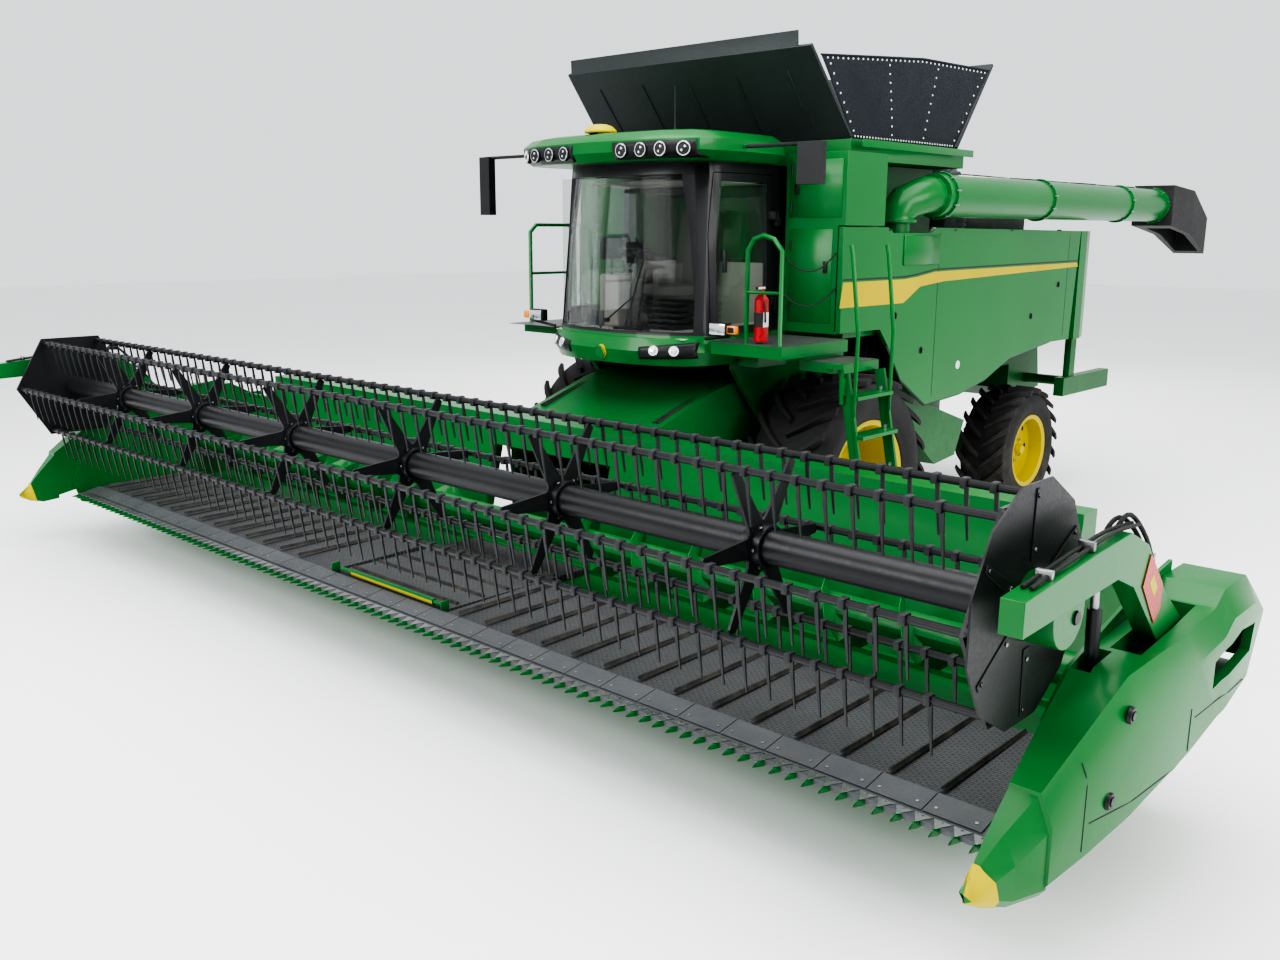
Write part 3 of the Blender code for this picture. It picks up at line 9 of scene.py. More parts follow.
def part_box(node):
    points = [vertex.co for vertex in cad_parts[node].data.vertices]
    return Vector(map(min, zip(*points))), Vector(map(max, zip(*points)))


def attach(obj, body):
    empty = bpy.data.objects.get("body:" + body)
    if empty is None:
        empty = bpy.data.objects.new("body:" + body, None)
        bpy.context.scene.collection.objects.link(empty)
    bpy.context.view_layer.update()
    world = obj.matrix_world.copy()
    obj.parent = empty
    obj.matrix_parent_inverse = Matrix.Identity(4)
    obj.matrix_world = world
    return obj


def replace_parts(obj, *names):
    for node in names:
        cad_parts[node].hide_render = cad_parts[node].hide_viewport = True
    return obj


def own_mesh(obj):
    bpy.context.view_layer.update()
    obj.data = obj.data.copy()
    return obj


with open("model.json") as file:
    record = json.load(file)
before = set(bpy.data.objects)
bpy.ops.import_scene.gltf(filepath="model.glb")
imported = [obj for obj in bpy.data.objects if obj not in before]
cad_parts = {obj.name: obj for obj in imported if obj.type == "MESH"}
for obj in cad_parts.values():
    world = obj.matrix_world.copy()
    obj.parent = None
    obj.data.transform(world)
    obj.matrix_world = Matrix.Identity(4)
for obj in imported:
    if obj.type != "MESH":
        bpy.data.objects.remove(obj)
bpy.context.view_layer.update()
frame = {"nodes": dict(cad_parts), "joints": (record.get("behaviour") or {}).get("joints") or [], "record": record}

nodes = frame["nodes"]
bothSides = (("left", 1), ("right", -1))          # the word in a name, and the way X runs
leftward, rearward, upward = Vector((1, 0, 0)), Vector((0, 1, 0)), Vector((0, 0, 1))


def middle(name):
    low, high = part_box(name)
    return (low + high) / 2


axleY = middle("front_rim_left").y
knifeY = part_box("cutterbar")[0].y + 0.02


def byAxle(x, y, z):
    return Vector((x, axleY + y, z))              # y is metres behind the front axle


def byKnife(x, y, z):
    return Vector((x, knifeY + y, z))             # y is metres behind the knife


# camera, sky and lights
view = {"place": (7.065, -10.453, 3.221), "azimuth": 42.964, "elevation": 12.417, "roll": 0.236,
        "lens": 32.16, "sensor": 36, "reach": 200}
cameraData = bpy.data.cameras.new("viewCamera")
cameraData.lens = view["lens"]
cameraData.sensor_width = view["sensor"]
cameraData.clip_end = view["reach"]
camera = bpy.data.objects.new("viewCamera", cameraData)
bpy.context.scene.collection.objects.link(camera)
azimuth, elevation, roll = (radians(view[key]) for key in ("azimuth", "elevation", "roll"))
lookBack = Vector((sin(azimuth) * cos(elevation), -cos(azimuth) * cos(elevation), sin(elevation)))
level = Vector((cos(azimuth), sin(azimuth), 0))
upright = lookBack.cross(level)
turned = Matrix((level * cos(roll) + upright * sin(roll), upright * cos(roll) - level * sin(roll), lookBack))
camera.matrix_world = Matrix.Translation(view["place"]) @ turned.transposed().to_4x4()
bpy.context.scene.camera = camera

studio = {"sky": (0.96, 0.98, 1.0, 1), "skyStrength": 0.95, "floorTone": 0.93, "floorHalf": 60,
          "look": "AgX - High Contrast"}
bpy.context.scene.view_settings.look = studio["look"]
softboxes = {                                     # place, aim, size, power, colour
    "softboxTop": ((2, -4, 13), (0, 0, 1), (14, 14), 2100, (1, 1, 1)),
    "softboxFront": ((-3, -17, 8), (0, -4, 1.5), (9, 6), 1000, (1, 1, 1)),
    "softboxSide": ((15, -3, 7), (1, 0, 1.5), (9, 6), 900, (1.0, 0.98, 0.95)),
    "softboxBack": ((-8, 12, 9), (0, 2, 2), (9, 6), 600, (1, 1, 1))}
for name, (place, aim, size, power, colour) in softboxes.items():
    data = bpy.data.lights.new(name, "AREA")
    data.shape = "RECTANGLE"
    data.size, data.size_y = size
    data.energy = power
    data.color = colour
    lamp = bpy.data.objects.new(name, data)
    bpy.context.scene.collection.objects.link(lamp)
    lamp.location = place
    lamp.rotation_euler = (Vector(aim) - Vector(place)).to_track_quat("-Z", "Y").to_euler()

world = bpy.data.worlds.new("studioSky")
bpy.context.scene.world = world
world.use_nodes = True
sky = world.node_tree.nodes["Background"].inputs
sky["Color"].default_value = studio["sky"]
sky["Strength"].default_value = studio["skyStrength"]


# small mesh tools
def paintNew(bm, before, slot):
    bm.faces.ensure_lookup_table()
    for face in bm.faces[before:]:
        face.material_index = slot


def edgesOf(verts):
    return list(dict.fromkeys(e for v in verts for e in v.link_edges))


def addBox(bm, x, y, z, slot=0, edge=0.0, origin=axleY):
    # x, y and z are pairs of ends, with y counted from the origin
    before = len(bm.faces)
    low = Vector((min(x), origin + min(y), min(z)))
    high = Vector((max(x), origin + max(y), max(z)))
    verts = bmesh.ops.create_cube(bm, size=1.0)["verts"]
    bmesh.ops.scale(bm, vec=high - low, verts=verts)
    bmesh.ops.translate(bm, vec=(low + high) / 2, verts=verts)
    if edge:
        bmesh.ops.bevel(bm, geom=edgesOf(verts), offset=edge, segments=2, profile=0.5, affect="EDGES", material=-1)
    paintNew(bm, before, slot)
    return verts


def addRod(bm, start, end, radius, tip=None, sides=16, slot=0):
    before = len(bm.faces)
    start, end = Vector(start), Vector(end)
    turn = upward.rotation_difference(end - start).to_matrix().to_4x4()
    bmesh.ops.create_cone(bm, cap_ends=True, segments=sides, radius1=radius, depth=(end - start).length,
                          radius2=radius if tip is None else tip,
                          matrix=Matrix.Translation((start + end) / 2) @ turn)
    paintNew(bm, before, slot)


def addBolt(bm, spot, out, radius, sides=6, slot=0, tip=None):
    addRod(bm, spot, spot + out, radius, tip, sides, slot)


def addPlate(bm, outline, direction, slot=0):
    # outline is a flat ring of points, pushed along direction
    before = len(bm.faces)
    face = bm.faces.new([bm.verts.new(p) for p in outline])
    grown = bmesh.ops.extrude_face_region(bm, geom=[face])["geom"]
    verts = [g for g in grown if isinstance(g, bmesh.types.BMVert)]
    bmesh.ops.translate(bm, vec=direction, verts=verts)
    paintNew(bm, before, slot)


def addPipe(bm, points, radius, sides=10, slot=0):
    before = len(bm.faces)
    points = [Vector(p) for p in points]
    leg = [(b - a).normalized() for a, b in zip(points, points[1:])]
    heading = [leg[0]] + [(a + b).normalized() for a, b in zip(leg, leg[1:])] + [leg[-1]]
    turn = upward.rotation_difference(heading[0])
    place = Matrix.Translation(points[0]) @ turn.to_matrix().to_4x4()
    verts = bmesh.ops.create_circle(bm, cap_ends=True, radius=radius, segments=sides, matrix=place)["verts"]
    ring = edgesOf(verts)
    for point, old, new in zip(points[1:], heading, heading[1:]):
        turn = old.rotation_difference(new) @ turn
        there = Matrix.Translation(point) @ turn.to_matrix().to_4x4()
        grown = bmesh.ops.extrude_edge_only(bm, edges=ring)["geom"]
        verts = [g for g in grown if isinstance(g, bmesh.types.BMVert)]
        ring = [g for g in grown if isinstance(g, bmesh.types.BMEdge)]
        bmesh.ops.transform(bm, matrix=there @ place.inverted(), verts=verts)
        place = there
    bmesh.ops.edgeloop_fill(bm, edges=ring)
    paintNew(bm, before, slot)


def rounded(points, steps=5):
    # a smooth line through the points
    points = [Vector(p) for p in points]
    ends = [points[0] * 2 - points[1]] + points + [points[-1] * 2 - points[-2]]
    line = []
    for a, b, c, d in zip(ends, ends[1:], ends[2:], ends[3:]):
        for i in range(steps):
            t = i / steps
            line.append(((b * 2) + (c - a) * t + (a * 2 - b * 5 + c * 4 - d) * t * t
                         + (b * 3 - a - c * 3 + d) * t * t * t) / 2)
    return line + [points[-1]]


def addSpun(bm, profile, centre, steps=64):
    # profile is a closed ring of (along the axle, radius) pairs, turned about an axle along X
    before = len(bm.faces)
    centre = Vector(centre)
    verts = [bm.verts.new(centre + Vector((a, 0, r))) for a, r in profile]
    edges = [bm.edges.new(pair) for pair in zip(verts, verts[1:] + verts[:1])]
    bmesh.ops.spin(bm, geom=verts + edges, cent=centre, axis=leftward, angle=2 * pi, steps=steps, use_merge=True)
    paintNew(bm, before, 0)


def spokes(count, start=0):
    # the outward and the sideways direction at even steps round an axle along X
    for i in range(count):
        t = radians(start) + 2 * pi * i / count
        yield Vector((0, cos(t), sin(t))), Vector((0, -sin(t), cos(t)))


def withNeighbours(verts):
    return list(verts) + edgesOf(verts) + list(dict.fromkeys(f for v in verts for f in v.link_faces))


def makePiece(name, bm, paintNames, body, soften=0.0, sharp=35):
    # paintNames holds one word for each material index
    bmesh.ops.recalc_face_normals(bm, faces=bm.faces)
    mesh = bpy.data.meshes.new(name)
    bm.to_mesh(mesh)
    bm.free()
    for word in paintNames.split():
        mesh.materials.append(paints[word])
    mesh.shade_smooth()
    mesh.set_sharp_from_angle(angle=radians(sharp))
    piece = bpy.data.objects.new(name, mesh)
    bpy.context.scene.collection.objects.link(piece)
    if soften:
        bevel = piece.modifiers.new("softEdges", "BEVEL")
        bevel.width = soften
        bevel.segments = 2
        bevel.limit_method = "ANGLE"
        bevel.angle_limit = radians(40)
    if body:
        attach(piece, body)
    return piece


def repeat(piece, count, offset):
    array = piece.modifiers.new("row", "ARRAY")
    array.count = count
    array.use_relative_offset = False
    array.use_constant_offset = True
    array.constant_offset_displace = offset


def addWall(piece, thickness):
    wall = piece.modifiers.new("wall", "SOLIDIFY")
    wall.thickness = thickness
    wall.offset = 0


def surfaceOf(name):
    mesh = nodes[name].data
    return BVHTree.FromPolygons([v.co for v in mesh.vertices], [p.vertices for p in mesh.polygons])


def castOn(surface, origin, aim, reach=100.0):
    # where a ray meets the surface, and the normal there on the ray's side
    hit, normal, _, _ = surface.ray_cast(origin, aim, reach)
    if hit is not None and normal.dot(aim) > 0:
        normal = -normal
    return hit, normal


def skinPatch(name, surface, columns, rows, lift, thickness, start):
    # a thin black shell that follows the surface, where start(u, v) begins each ray
    bm = bmesh.new()
    for v in bmesh.ops.create_grid(bm, x_segments=columns, y_segments=rows, size=0.5)["verts"]:
        hit, normal = castOn(surface, start(v.co.x + 0.5, v.co.y + 0.5), rearward)
        if hit is None:
            raise ValueError(name + " misses its surface")
        v.co = hit + normal * lift
    addWall(makePiece(name, bm, "satinBlack", "body"), thickness)


# shared surface effects
def feed(tree, made, inputs):
    # each input takes a value, or is joined to another node's output
    for label, source in inputs.items():
        if isinstance(source, bpy.types.NodeSocket):
            tree.links.new(source, made.inputs[label])
        else:
            made.inputs[label].default_value = source
    return made


def node(tree, kind, inputs={}, **settings):
    made = tree.nodes.new("ShaderNode" + kind)
    for key, value in settings.items():
        setattr(made, key, value)
    return feed(tree, made, inputs)


def objectPlace(tree):
    return node(tree, "TexCoord").outputs["Object"]


def newGroup(name, inputs, outputs):
    tree = bpy.data.node_groups.new(name, "ShaderNodeTree")
    for label, kind, value in inputs:
        tree.interface.new_socket(name=label, in_out="INPUT", socket_type=kind).default_value = value
    for label, kind in outputs:
        tree.interface.new_socket(name=label, in_out="OUTPUT", socket_type=kind)
    return tree, tree.nodes.new("NodeGroupInput").outputs, tree.nodes.new("NodeGroupOutput")


def fieldSurface():
    # patchy shade, fine grain, and dust that settles low down
    floats, colours = "NodeSocketFloat", "NodeSocketColor"
    tree, given, out = newGroup("fieldSurface", [
        ("Colour", colours, (0.5, 0.5, 0.5, 1)), ("Shade", colours, (0.3, 0.3, 0.3, 1)),
        ("Patch Scale", floats, 1.2), ("Patch Amount", floats, 0.5), ("Grain Scale", floats, 60.0),
        ("Dust Colour", colours, (0.3, 0.25, 0.18, 1)), ("Dust Amount", floats, 0.3), ("Dust Top", floats, 1.6),
        ("Smooth", floats, 0.25), ("Rough", floats, 0.45)],
        [("Colour", colours), ("Roughness", floats), ("Height", floats)])
    place = objectPlace(tree)
    patches = node(tree, "TexNoise", {"Vector": place, "Scale": given["Patch Scale"], "Detail": 5})
    grain = node(tree, "TexNoise", {"Vector": place, "Scale": given["Grain Scale"], "Detail": 3}).outputs["Fac"]
    specks = node(tree, "TexNoise", {"Vector": place, "Scale": 9, "Detail": 8})
    height = node(tree, "SeparateXYZ", {0: place})
    spread = node(tree, "MapRange", {"Value": patches.outputs["Fac"], "From Min": 0.35, "From Max": 0.68})
    amount = node(tree, "Math", {0: spread.outputs["Result"], 1: given["Patch Amount"]}, operation="MULTIPLY")
    shade = node(tree, "Mix", {0: amount.outputs[0], 6: given["Colour"], 7: given["Shade"]}, data_type="RGBA")
    low = node(tree, "MapRange", {"Value": height.outputs["Z"], "From Max": given["Dust Top"],
                                  "To Min": 1, "To Max": 0.12})
    spots = node(tree, "MapRange", {"Value": specks.outputs["Fac"], "From Min": 0.38, "From Max": 0.72})
    dust = node(tree, "Math", {0: low.outputs["Result"], 1: spots.outputs["Result"]}, operation="MULTIPLY")
    share = node(tree, "Math", {0: dust.outputs[0], 1: given["Dust Amount"]}, operation="MULTIPLY").outputs[0]
    dusty = node(tree, "Mix", {0: share, 6: shade.outputs[2], 7: given["Dust Colour"]}, data_type="RGBA")
    gloss = node(tree, "MapRange", {"Value": grain, "From Min": 0.3, "From Max": 0.7,
                                    "To Min": given["Smooth"], "To Max": given["Rough"]})
    worn = node(tree, "Math", {0: share, 1: 0.4, 2: gloss.outputs["Result"]}, operation="MULTIPLY_ADD")
    feed(tree, out, {"Colour": dusty.outputs[2], "Roughness": worn.outputs[0], "Height": grain})
    return tree


def wovenThreads():
    # over and under threads, for tarps and belts
    tree, given, out = newGroup("wovenThreads", [("Scale", "NodeSocketFloat", 200.0)],
                                [("Height", "NodeSocketFloat")])
    place = objectPlace(tree)
    x, y, z = [node(tree, "TexWave", {"Vector": place, "Scale": given["Scale"]}, wave_type="BANDS",
                    bands_direction=direction).outputs["Fac"] for direction in ("X", "Y", "Z")]
    flat = node(tree, "Math", {0: x, 1: y}, operation="ADD")
    height = node(tree, "Math", {0: z, 1: 0.5, 2: flat.outputs[0]}, operation="MULTIPLY_ADD")
    feed(tree, out, {"Height": height.outputs[0]})
    return tree


surfaceGroup = fieldSurface()
threadGroup = wovenThreads()
print("surface effects made")

# colour, shade of its patches, roughness range, and what else each finish has
finishes = {
    "harvestGreen": {"colour": (0.001, 0.135, 0.020), "shade": (0.001, 0.108, 0.016), "rough": (0.29, 0.34),
                     "coat": 0.12, "patchAmount": 0.5, "dust": 0.03, "specular": 0.35},
    "chassisGreen": {"colour": (0.002, 0.105, 0.018), "shade": (0.002, 0.08, 0.014), "rough": (0.34, 0.42),
                     "coat": 0.05, "dust": 0.14, "dustTop": 2.2, "specular": 0.3},
    "rimYellow": {"colour": (0.47, 0.37, 0.001), "shade": (0.40, 0.31, 0.001), "rough": (0.34, 0.44),
                  "dust": 0.05, "specular": 0.25},
    "satinBlack": {"colour": (0.008, 0.009, 0.010), "shade": (0.014, 0.015, 0.017), "rough": (0.3, 0.42),
                   "dust": 0.03, "specular": 0.35},
    "panelGrey": {"colour": (0.020, 0.027, 0.028), "shade": (0.015, 0.021, 0.021), "rough": (0.45, 0.62),
                  "dust": 0.1},
    "tarpNavy": {"colour": (0.006, 0.010, 0.017), "shade": (0.010, 0.015, 0.023), "rough": (0.36, 0.55),
                 "dust": 0.05, "thread": 260, "threadHeight": 0.0006, "specular": 0.25},
    "tyreRubber": {"colour": (0.011, 0.012, 0.013), "shade": (0.018, 0.018, 0.018), "rough": (0.65, 0.85),
                   "dust": 0.22, "dustTop": 1.2, "grainHeight": 0.0016, "grain": 90},
    "spoutRubber": {"colour": (0.013, 0.013, 0.014), "shade": (0.025, 0.025, 0.026), "rough": (0.5, 0.7)},
    "bareSteel": {"colour": (0.42, 0.43, 0.44), "shade": (0.26, 0.26, 0.26), "rough": (0.25, 0.5), "metal": 1.0},
    "engineGrey": {"colour": (0.06, 0.065, 0.07), "shade": (0.03, 0.033, 0.036), "rough": (0.45, 0.7),
                   "dust": 0.4, "dustTop": 4.0},
    "tineGrey": {"colour": (0.020, 0.022, 0.025), "shade": (0.013, 0.015, 0.017), "rough": (0.4, 0.55),
                 "dust": 0.06},
    "ramGrey": {"colour": (0.085, 0.092, 0.10), "shade": (0.06, 0.066, 0.072), "rough": (0.4, 0.6), "dust": 0.1},
    "trimGrey": {"colour": (0.42, 0.41, 0.37), "shade": (0.34, 0.33, 0.30), "rough": (0.5, 0.7), "thread": 120,
                 "threadHeight": 0.0003},
    "seatCloth": {"colour": (0.13, 0.135, 0.12), "shade": (0.09, 0.095, 0.085), "rough": (0.75, 0.95),
                  "thread": 320, "threadHeight": 0.0008},
    "signalRed": {"colour": (0.42, 0.006, 0.010), "shade": (0.34, 0.005, 0.008), "rough": (0.25, 0.35),
                  "coat": 0.15},
    "signalAmber": {"colour": (0.85, 0.28, 0.01), "shade": (0.7, 0.2, 0.01), "rough": (0.12, 0.25), "coat": 0.8},
    "domeYellow": {"colour": (0.52, 0.43, 0.002), "shade": (0.46, 0.37, 0.002), "rough": (0.34, 0.44),
                   "dust": 0.05, "specular": 0.25},
    "labelWhite": {"colour": (0.72, 0.73, 0.72), "shade": (0.6, 0.61, 0.6), "rough": (0.35, 0.5)},
    "lampSilver": {"colour": (0.75, 0.77, 0.8), "shade": (0.6, 0.62, 0.66), "rough": (0.08, 0.2), "metal": 0.9},
    "hoseBlack": {"colour": (0.01, 0.01, 0.011), "shade": (0.02, 0.02, 0.02), "rough": (0.45, 0.6),
                  "thread": 400, "threadHeight": 0.0003},
}


def startMaterial(name):
    material = bpy.data.materials.new(name)
    material.use_nodes = True
    return material, material.node_tree, material.node_tree.nodes["Principled BSDF"]


def surfaceNode(tree, look):
    return node(tree, "Group", {
        "Colour": (*look["colour"], 1), "Shade": (*look["shade"], 1), "Patch Scale": look.get("patch", 1.4),
        "Patch Amount": look.get("patchAmount", 0.8), "Grain Scale": look.get("grain", 55.0),
        "Dust Amount": look.get("dust", 0.22), "Dust Top": look.get("dustTop", 1.8),
        "Smooth": look["rough"][0], "Rough": look["rough"][1]}, node_tree=surfaceGroup).outputs


def finishMaterial(name, look):
    material, tree, shader = startMaterial(name)
    surface = surfaceNode(tree, look)
    bump = node(tree, "Bump", {"Distance": look.get("grainHeight", 0.0003), "Height": surface["Height"]})
    if "thread" in look:
        threads = node(tree, "Group", {"Scale": look["thread"]}, node_tree=threadGroup)
        bump = node(tree, "Bump", {"Distance": look["threadHeight"], "Height": threads.outputs["Height"],
                                   "Normal": bump.outputs["Normal"]})
    feed(tree, shader, {"Base Color": surface["Colour"], "Roughness": surface["Roughness"],
                        "Metallic": look.get("metal", 0.0), "Coat Weight": look.get("coat", 0.0),
                        "Coat Roughness": 0.12, "Specular IOR Level": look.get("specular", 0.4),
                        "Normal": bump.outputs["Normal"]})
    return material


def splitPaint(name, axis, split):
    # green up to the split and satin black beyond it: pillars above a sill, mirrors out on their arms
    material, tree, shader = startMaterial(name)
    green = surfaceNode(tree, finishes["harvestGreen"])
    black = surfaceNode(tree, finishes["satinBlack"])
    along = node(tree, "SeparateXYZ", {0: objectPlace(tree)}).outputs[axis]
    outward = node(tree, "Math", {0: along}, operation="ABSOLUTE").outputs[0]
    beyond = node(tree, "Math", {0: outward, 1: split}, operation="GREATER_THAN").outputs[0]
    colour = node(tree, "Mix", {0: beyond, 6: green["Colour"], 7: black["Colour"]}, data_type="RGBA")
    rough = node(tree, "Mix", {0: beyond, 2: green["Roughness"], 3: black["Roughness"]}, data_type="FLOAT")
    feed(tree, shader, {"Base Color": colour.outputs[2], "Roughness": rough.outputs[0],
                        "Specular IOR Level": finishes["harvestGreen"]["specular"],
                        "Coat Weight": finishes["harvestGreen"]["coat"]})
    return material


def mouldedMaterial(name, look):
    # rows of short raised bars, with or without a slant, and painted shade darkening the gaps between them
    material, tree, shader = startMaterial(name)
    surface = surfaceNode(tree, look)
    slant = node(tree, "Mapping", {"Vector": objectPlace(tree), "Rotation": (0, 0, radians(look["slant"]))})
    bars = node(tree, "TexBrick", {"Vector": slant.outputs["Vector"], "Scale": 1.0, "Brick Width": look["bar"],
                                   "Row Height": look["row"], "Mortar Size": look["gap"],
                                   "Mortar Smooth": look["gapSmooth"]})
    bump = node(tree, "Bump", {"Distance": look["height"], "Height": bars.outputs["Fac"]}, invert=True)
    colour = surface["Colour"]
    # painted shade: the colour is multiplied darker in the gaps between the bars
    if "paintedGapShade" in look:
        colour = node(tree, "Mix", {0: bars.outputs["Fac"], 6: colour, 7: look["paintedGapShade"]}, data_type="RGBA",
                      blend_type="MULTIPLY").outputs[2]
    feed(tree, shader, {"Base Color": colour, "Roughness": surface["Roughness"],
                        "Metallic": look.get("metal", 0.0), "Normal": bump.outputs["Normal"]})
    return material


def glassMaterial(name, look):
    material, tree, shader = startMaterial(name)
    smears = node(tree, "TexNoise", {"Vector": objectPlace(tree), "Scale": 3, "Detail": 6})
    spread = node(tree, "MapRange", {"Value": smears.outputs["Fac"], "To Min": look["rough"][0],
                                     "To Max": look["rough"][1]})
    feed(tree, shader, {"Base Color": look["tint"], "Roughness": spread.outputs["Result"],
                        "Transmission Weight": 1.0, "IOR": look["index"], "Alpha": look["clear"]})
    return material


# the belt's last tone is painted shade, multiplied into the gaps between its bars
special = {"belt": {"colour": (0.070, 0.074, 0.079), "shade": (0.056, 0.060, 0.064), "rough": (0.5, 0.7),
                    "dust": 0.08, "slant": 0, "bar": 0.05, "row": 0.02, "gap": 0.005, "gapSmooth": 0.3,
                    "height": 0.0025, "paintedGapShade": (0.45, 0.45, 0.46, 1)},
           "tread": {"colour": (0.10, 0.11, 0.115), "shade": (0.07, 0.075, 0.08), "rough": (0.35, 0.55),
                     "metal": 0.6, "dust": 0.3, "dustTop": 4.0, "slant": 45, "bar": 0.045, "row": 0.022,
                     "gap": 0.006, "gapSmooth": 0.1, "height": 0.003},
           "glass": {"tint": (0.55, 0.62, 0.60, 1), "rough": (0.01, 0.04), "index": 1.3, "clear": 0.3},
           "floor": {"colour": (studio["floorTone"],) * 3, "shade": (studio["floorTone"] - 0.02,) * 3,
                     "rough": (0.6, 0.75), "dust": 0.0, "patch": 0.3},
           "cabSill": 2.335, "mirrorArm": 1.15}
paints = {name: finishMaterial(name, look) for name, look in finishes.items()}
paints["cabPaint"] = splitPaint("cabPaint", "Z", special["cabSill"])
paints["roofPaint"] = splitPaint("roofPaint", "X", special["mirrorArm"])
paints["beltRubber"] = mouldedMaterial("beltRubber", special["belt"])
paints["treadPlate"] = mouldedMaterial("treadPlate", special["tread"])
paints["tintedGlass"] = glassMaterial("tintedGlass", special["glass"])
paints["studioFloor"] = finishMaterial("studioFloor", special["floor"])

bm = bmesh.new()
bmesh.ops.create_grid(bm, x_segments=2, y_segments=2, size=studio["floorHalf"])
makePiece("studioFloor", bm, "studioFloor", None)

slotPaint = {"green_paint": "harvestGreen", "yellow_paint": "rimYellow", "black_paint": "satinBlack",
             "grey_panel": "panelGrey", "tarpaulin": "tarpNavy", "tyre_rubber": "tyreRubber",
             "belt_rubber": "beltRubber", "spout_rubber": "spoutRubber", "tinted_glass": "tintedGlass",
             "seat_cloth": "seatCloth", "bare_steel": "bareSteel", "engine_grey": "engineGrey"}
nodePaint = {"cab_body": "cabPaint", "cab_door": "cabPaint", "cab_roof": "roofPaint",
             "main_frame": "chassisGreen", "front_axle": "chassisGreen", "rear_axle": "chassisGreen",
             "straw_chopper": "chassisGreen", "cutterbar": "ramGrey",
             "steering_knuckle_left": "chassisGreen", "steering_knuckle_right": "chassisGreen"}
bodyOf = {name: body for body, held in frame["record"]["behaviour"]["bodies"].items() for name in held}
detailedLater = ("front_tyre", "rear_tyre", "front_rim", "rear_rim", "tank_tarp", "operator_seat")
finishSet = {"weld": 0.0001, "flat": 0.6, "soften": 0.004, "sharp": 33}


def finishNode(name, paintNames):
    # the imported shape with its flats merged, its curves shaded smooth and its edges softened
    bm = bmesh.new()
    bm.from_mesh(nodes[name].data)
    bmesh.ops.remove_doubles(bm, verts=bm.verts, dist=finishSet["weld"])
    bmesh.ops.dissolve_limit(bm, angle_limit=radians(finishSet["flat"]), verts=bm.verts, edges=bm.edges)
    finished = makePiece(name + "Finished", bm, paintNames, bodyOf[name], finishSet["soften"],
                         finishSet["sharp"])
    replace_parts(finished, name)


for name, cadObject in nodes.items():
    packed = [place.material.name.split(".")[0] for place in cadObject.material_slots]
    wanted = [nodePaint[name] if name in nodePaint and old != "tinted_glass" else slotPaint[old] for old in packed]
    for place, paintName in zip(cadObject.material_slots, wanted):
        place.material = paints[paintName]
    if not name.startswith(detailedLater):
        finishNode(name, " ".join(wanted))
print("finishes on every packed node")

# wheels
wheelSet = {"front": {"radius": 0.985, "width": 0.75, "rim": 0.56, "lugs": 22, "disc": -0.15, "hub": 0.0905,
                      "rake": 0.30, "centre": 1.395, "tread": 0.055},
            "rear": {"radius": 0.735, "width": 0.58, "rim": 0.395, "lugs": 20, "disc": 0.06, "hub": 0.0605,
                     "rake": 0.24, "centre": 1.25, "tread": 0.055}}


def makeTyre(name, body, centre, size):
    half, radius, bead = size["width"] / 2, size["radius"], size["rim"] + 0.001
    tread = radius - size["tread"]
    flank = [(0.78, bead), (0.92, bead + 0.03), (0.97, bead + 0.10), (0.985, bead + 0.11),
             (1, (bead + tread) / 2 + 0.03), (0.96, tread - 0.09), (0.88, tread - 0.035), (0.6, tread - 0.008)]
    bm = bmesh.new()
    addSpun(bm, [(-half * a, r) for a, r in flank] + [(0, tread)] + [(half * a, r) for a, r in flank[::-1]],
            centre, 72)
    for side in (-1, 1):
        verts = addBox(bm, (0, 1), (-0.5, 0.5), (0, 1), origin=0)
        for share in (0.35, 0.7, 0.9):
            cut = bmesh.ops.bisect_plane(bm, geom=withNeighbours(verts), plane_co=(share, 0, 0), plane_no=leftward)
            verts = list(dict.fromkeys(verts + [g for g in cut["geom_cut"] if isinstance(g, bmesh.types.BMVert)]))
        for v in verts:
            out, across, up = v.co
            drop = 0.225 * max(0.0, out - 0.55) ** 1.5
            foot = tread - 0.03 - 0.10 * max(0.0, out - 0.7)
            wide = (0.052 + 0.03 * out) * (0.8 if up > 0.5 else 1.15)
            v.co = (side * (0.012 + out * half * 0.955), across * wide + size["rake"] * out ** 1.15,
                    (radius - 0.003 - drop) if up > 0.5 else foot)
        lift = Matrix.Translation(centre) @ Matrix.Rotation(pi * (side > 0) / size["lugs"], 4, "X")
        bmesh.ops.transform(bm, matrix=lift, verts=verts)
        bmesh.ops.spin(bm, geom=withNeighbours(verts), cent=centre, axis=leftward, steps=size["lugs"] - 1,
                       angle=2 * pi * (size["lugs"] - 1) / size["lugs"], use_duplicate=True)
    for v in bm.verts:
        gap = Vector((0, v.co.y - centre.y, v.co.z - centre.z))
        if gap.length > radius - 0.002:
            v.co -= gap.normalized() * (gap.length - radius + 0.002)
    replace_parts(makePiece(name + "Treaded", bm, "tyreRubber", body, 0.006), name)


